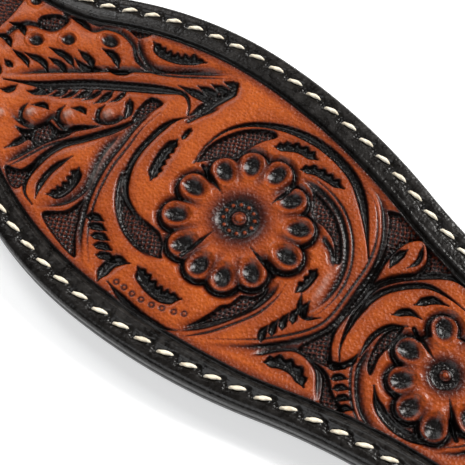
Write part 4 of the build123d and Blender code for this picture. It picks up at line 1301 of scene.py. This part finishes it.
def keeper(name, put, x, floor, width, body, nodes):
    """Leather loop with rounded corners round a strap and its end."""
    z0, z1 = floor + STRAP_T, floor + 3 * STRAP_T + 3 * LAY_GAP
    half_y, half_z = width / 2 + LAY_GAP + KEEPER_T / 2, (z1 - z0) / 2 + KEEPER_T / 2
    mid_z, r = (z0 + z1) / 2, KEEPER_CORNER
    path = []
    for quarter, (sign_y, sign_z) in enumerate(((1, 1), (-1, 1), (-1, -1), (1, -1))):
        corner = (sign_y * (half_y - r), mid_z + sign_z * (half_z - r))
        path += arc(corner, r, 90 * quarter, 90, 7)
    path = np.array(path)
    way = np.roll(path, -1, 0) - np.roll(path, 1, 0)
    way /= np.hypot(*way.T)[:, None]
    out = np.stack([way[:, 1], -way[:, 0]], 1)
    h, half = KEEPER_T / 2, KEEPER_LENGTH / 2
    ring = np.array([(half - 1.3, -h), (half - 0.4, -h), (half - 0.1, -0.6 * h), (half, 0),
                     (half - 0.12, 0.6 * h),
                     (half - 0.5, h), (half - 1.1, h), (half - 1.35, h - 0.22), (half - 1.6, h),
                     (0, h + 0.15)])
    ring = np.vstack([ring, ring[-2::-1] * (-1, 1)])
    y = path[:, :1] + out[:, :1] * ring[None, :, 1]
    z = path[:, 1:] + out[:, 1:] * ring[None, :, 1]
    xs = x - KEEPER_AT + np.broadcast_to(ring[None, :, 0], y.shape)
    edge = np.broadcast_to((np.abs(ring[:, 0]) > half - 0.6) * 1.0, y.shape)
    obj = make_object(name, put(xs, y, z), quads(len(path), len(ring), True, True), STRAP, edge=edge)
    face_outwards(obj)
    return finish_piece(obj, body, "strap_leather", *nodes)


def side_pieces(side):
    """Chapes, tug and keeper of one side."""
    put = functools.partial(place, side)
    tug = side + "_tug"
    top = CHAPE_TOP - LINING_T / 2
    for kind, loop_x, loop_z, loop_r, start, sign, width in (
            ("chest_chape", CHEST_LOOP_AT, RING_Z, CHEST_LOOP_R, PANEL_START, 1, CHEST_W),
            ("tug_chape", SQUARE_IN, LINING_T + SQUARE_LOOP_R, SQUARE_LOOP_R, PANEL_END, -1, TUG_W)):
        middle = loop_r + LINING_T / 2
        points = [(start + sign * CHAPE_LEG, LINING_T / 2), (start, LINING_T / 2)]
        points += arc((loop_x, loop_z), middle, 270, -180 * sign)
        points += [(start, top), (start + sign * CHAPE_LEG, top)]
        strap(side + "_" + kind + "_leather", put, points, width, side + "_shoulder",
              [side + "_" + kind], LINING_T, grain=sign)
    floor, heel = TUG_FLOOR, TUG_HEEL
    near_z, near_r = STRAP_T + SQUARE_LOOP_R, SQUARE_LOOP_R + STRAP_T / 2
    far_z, far_r = STRAP_T + SADDLE_LOOP_R, SADDLE_LOOP_R + STRAP_T / 2
    near_run = near_points(heel, floor)
    points = heel_fold(heel, floor) + near_run[1:] + [(heel - TIP_LENGTH - STRAP_T, near_run[-1][1])]
    points += arc((SQUARE_OUT, near_z), near_r, 90, 180) + arc((TUG_END, far_z), far_r, 270, 180)
    points += end_points(heel, floor)
    strap(side + "_tug_leather", put, points, TUG_W, tug, [side + "_tug_strap"], tip=True,
          cutters=tongue_room(put, heel, floor), own_layers=True)
    keeper(side + "_tug_keeper_loop", put, heel, floor, TUG_W, tug, [side + "_tug_keeper"])


def leg_pieces():
    """Leg strap, billet and keeper."""
    low, high = STRAP_T / 2, 1.5 * STRAP_T + LAY_GAP
    ring_r = CHEST_LOOP_R + STRAP_T / 2
    near_run = near_points(LEG_HEEL, 0)
    level, tip_x = near_run[-1][1], LEG_HEEL - TIP_LENGTH
    points = [(LEG_START + CHAPE_LEG, high), (LEG_START, high)]
    points += arc((CHEST_LOOP_AT, RING_Z), ring_r, 90, 180)
    points += [(LEG_START, low), (tip_x - LEG_SLOPE, low), (tip_x, level), near_run[1]]
    points += heel_fold(LEG_HEEL, 0)[::-1]
    notch, slit = tongue_room(place_leg, LEG_HEEL, 0)
    strap("leg_strap_leather", place_leg, points, CHEST_W, "leg_strap", ["leg_strap"],
          grain=-1, cutters=[notch])
    eye_r, back = EYE_R + STRAP_T / 2, EYE_AT - LEG_SLOPE
    past = end_points(LEG_HEEL, 0)
    points = [(back - CHAPE_LEG, high), (back, high)] + arc((EYE_AT, SNAP_Z), eye_r, 90, -180)
    points += [(past[0][0] + LEG_SLOPE, low)] + past
    first_hole = past[0][0] + LEG_SLOPE + 0.4 * HOLE_PITCH
    holes = [hole_cutter(place_leg, first_hole + HOLE_PITCH * i, low) for i in range(LEG_HOLES)]
    strap("leg_billet_leather", place_leg, points, CHEST_W, "leg_strap", ["leg_billet"],
          tip=True, cutters=[slit] + holes)
    keeper("leg_keeper_loop", place_leg, LEG_HEEL, 0, CHEST_W, "leg_strap", ["leg_keeper"])


def spring():
    """The bolt's coil spring, a fixed helix in the CAD spring's box; the real one shortens as the bolt is
    drawn back.
    """
    low, high = (Vector(c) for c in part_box("snap_spring"))
    middle = (low + high) / 2
    length = (high.y - low.y) / MM
    wire, turns, steps, ring = 0.6, 9, 26, 8
    radius = (high.x - low.x) / 2 / MM - wire / 2
    t = np.linspace(0, 1, turns * steps + 1)[:, None]
    a = t * turns * 2 * math.pi
    b = np.linspace(0, 2 * math.pi, ring, endpoint=False)[None]
    r = radius + wire / 2 * np.cos(b)
    along = (t - 0.5) * (length - wire) + wire / 2 * np.sin(b)
    xs = middle.x + r * np.cos(a) * MM
    zs = middle.z + r * np.sin(a) * MM
    ys = middle.y + along * MM
    obj = make_object("bolt_spring_coil", np.stack([xs, ys, zs], -1), tube(len(t), ring), SPRING)
    face_outwards(obj)
    finish_piece(obj, "snap_hook", "spring_steel", "snap_spring")
    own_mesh(obj)


# the right piece's middle scallop is the one seen from close by
for side_name, fine_scallops, rows_across in (("right", (1,), 300), ("left", (), 130)):
    cover(side_name, fine_scallops, rows_across)
    stitching(side_name)
    lining(side_name)
    side_pieces(side_name)
leg_pieces()
spring()
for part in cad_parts.values():
    if not part.hide_render:
        if not part.material_slots:
            part.data.materials.append(STEEL)
        for slot in part.material_slots:
            slot.material = STEEL


# ---- floor, light and camera -----------------------------------------------------------
def look_from(obj, target, azimuth, elevation, distance):
    """Puts a lamp or camera at a distance from a target, looking at it. Azimuth 0 is from -Y."""
    a, e = math.radians(azimuth), math.radians(elevation)
    back = Vector((math.sin(a) * math.cos(e), -math.cos(a) * math.cos(e), math.sin(e)))
    obj.location = target + back * distance
    obj.rotation_euler = (-back).to_track_quat("-Z", "Y").to_euler()


def soft_light(name, target, azimuth, elevation, distance, size, power, color=(1, 1, 1)):
    data = bpy.data.lights.new(name, "AREA")
    data.shape, data.size, data.energy, data.color = "DISK", size, power, color
    obj = bpy.data.objects.new(name, data)
    bpy.context.collection.objects.link(obj)
    look_from(obj, target, azimuth, elevation, distance)


FLOOR_GAP = 0.0006                  # metres below the lining, so that the faces don't meet
FLOOR_HALF = 8.0
floor_material, floor_tree, floor_shader = new_material("studio_floor")
floor_coords = object_coords(floor_tree)
floor_tree.links.new(ramp(floor_tree, noise(floor_tree, floor_coords, 3.0), (0.3, 0.88), (0.7, 0.92)),
                     floor_shader.inputs["Base Color"])
set_inputs(floor_shader, Roughness=0.7, Emission_Color=(1, 1, 1, 1), Emission_Strength=0.28)
floor_corners = [(x * FLOOR_HALF, y * FLOOR_HALF, -FLOOR_GAP)
                 for x, y in ((-1, -1), (1, -1), (1, 1), (-1, 1))]
floor = make_object("studio_floor", floor_corners, [(0, 1, 2, 3)], floor_material)

MIDDLE = Vector(((CAD_BOX[0][0] + CAD_BOX[1][0]) / 2, (CAD_BOX[0][1] + CAD_BOX[1][1]) / 2, 0.0))
soft_light("key", MIDDLE, 128, 40, 3.0, 1.0, 150, (1.0, 0.985, 0.96))
soft_light("fill", MIDDLE, -40, 50, 3.2, 2.2, 48, (0.97, 0.985, 1.0))
soft_light("back", MIDDLE, 205, 40, 3.2, 1.2, 34)
world = bpy.data.worlds.new("studio")
bpy.context.scene.world = world
world.use_nodes = True
world.node_tree.nodes["Background"].inputs["Color"].default_value = (1, 1, 1, 1)
world.node_tree.nodes["Background"].inputs["Strength"].default_value = 0.2
bpy.context.scene.view_settings.view_transform = "Standard"

PHOTO_AT = (1.36, -3.16)             # the picture's middle, in the middle scallop's own frame
target = Vector(place("right", flower_at(1) - PHOTO_AT[0], -PHOTO_AT[1], PANEL_TOP).tolist())
camera_data = bpy.data.cameras.new("camera")
camera = bpy.data.objects.new("camera", camera_data)
bpy.context.collection.objects.link(camera)
DISTANCE, VIEW_WIDTH = 0.18, 0.086025        # metres
ELEVATION = 67                               # degrees above the leather
SENSOR = 36.0
camera_data.sensor_width, camera_data.lens = SENSOR, SENSOR * DISTANCE / VIEW_WIDTH
camera_data.clip_start, camera_data.clip_end = 0.01, 50.0
look_from(camera, target, 0, ELEVATION, DISTANCE)
bpy.context.scene.camera = camera
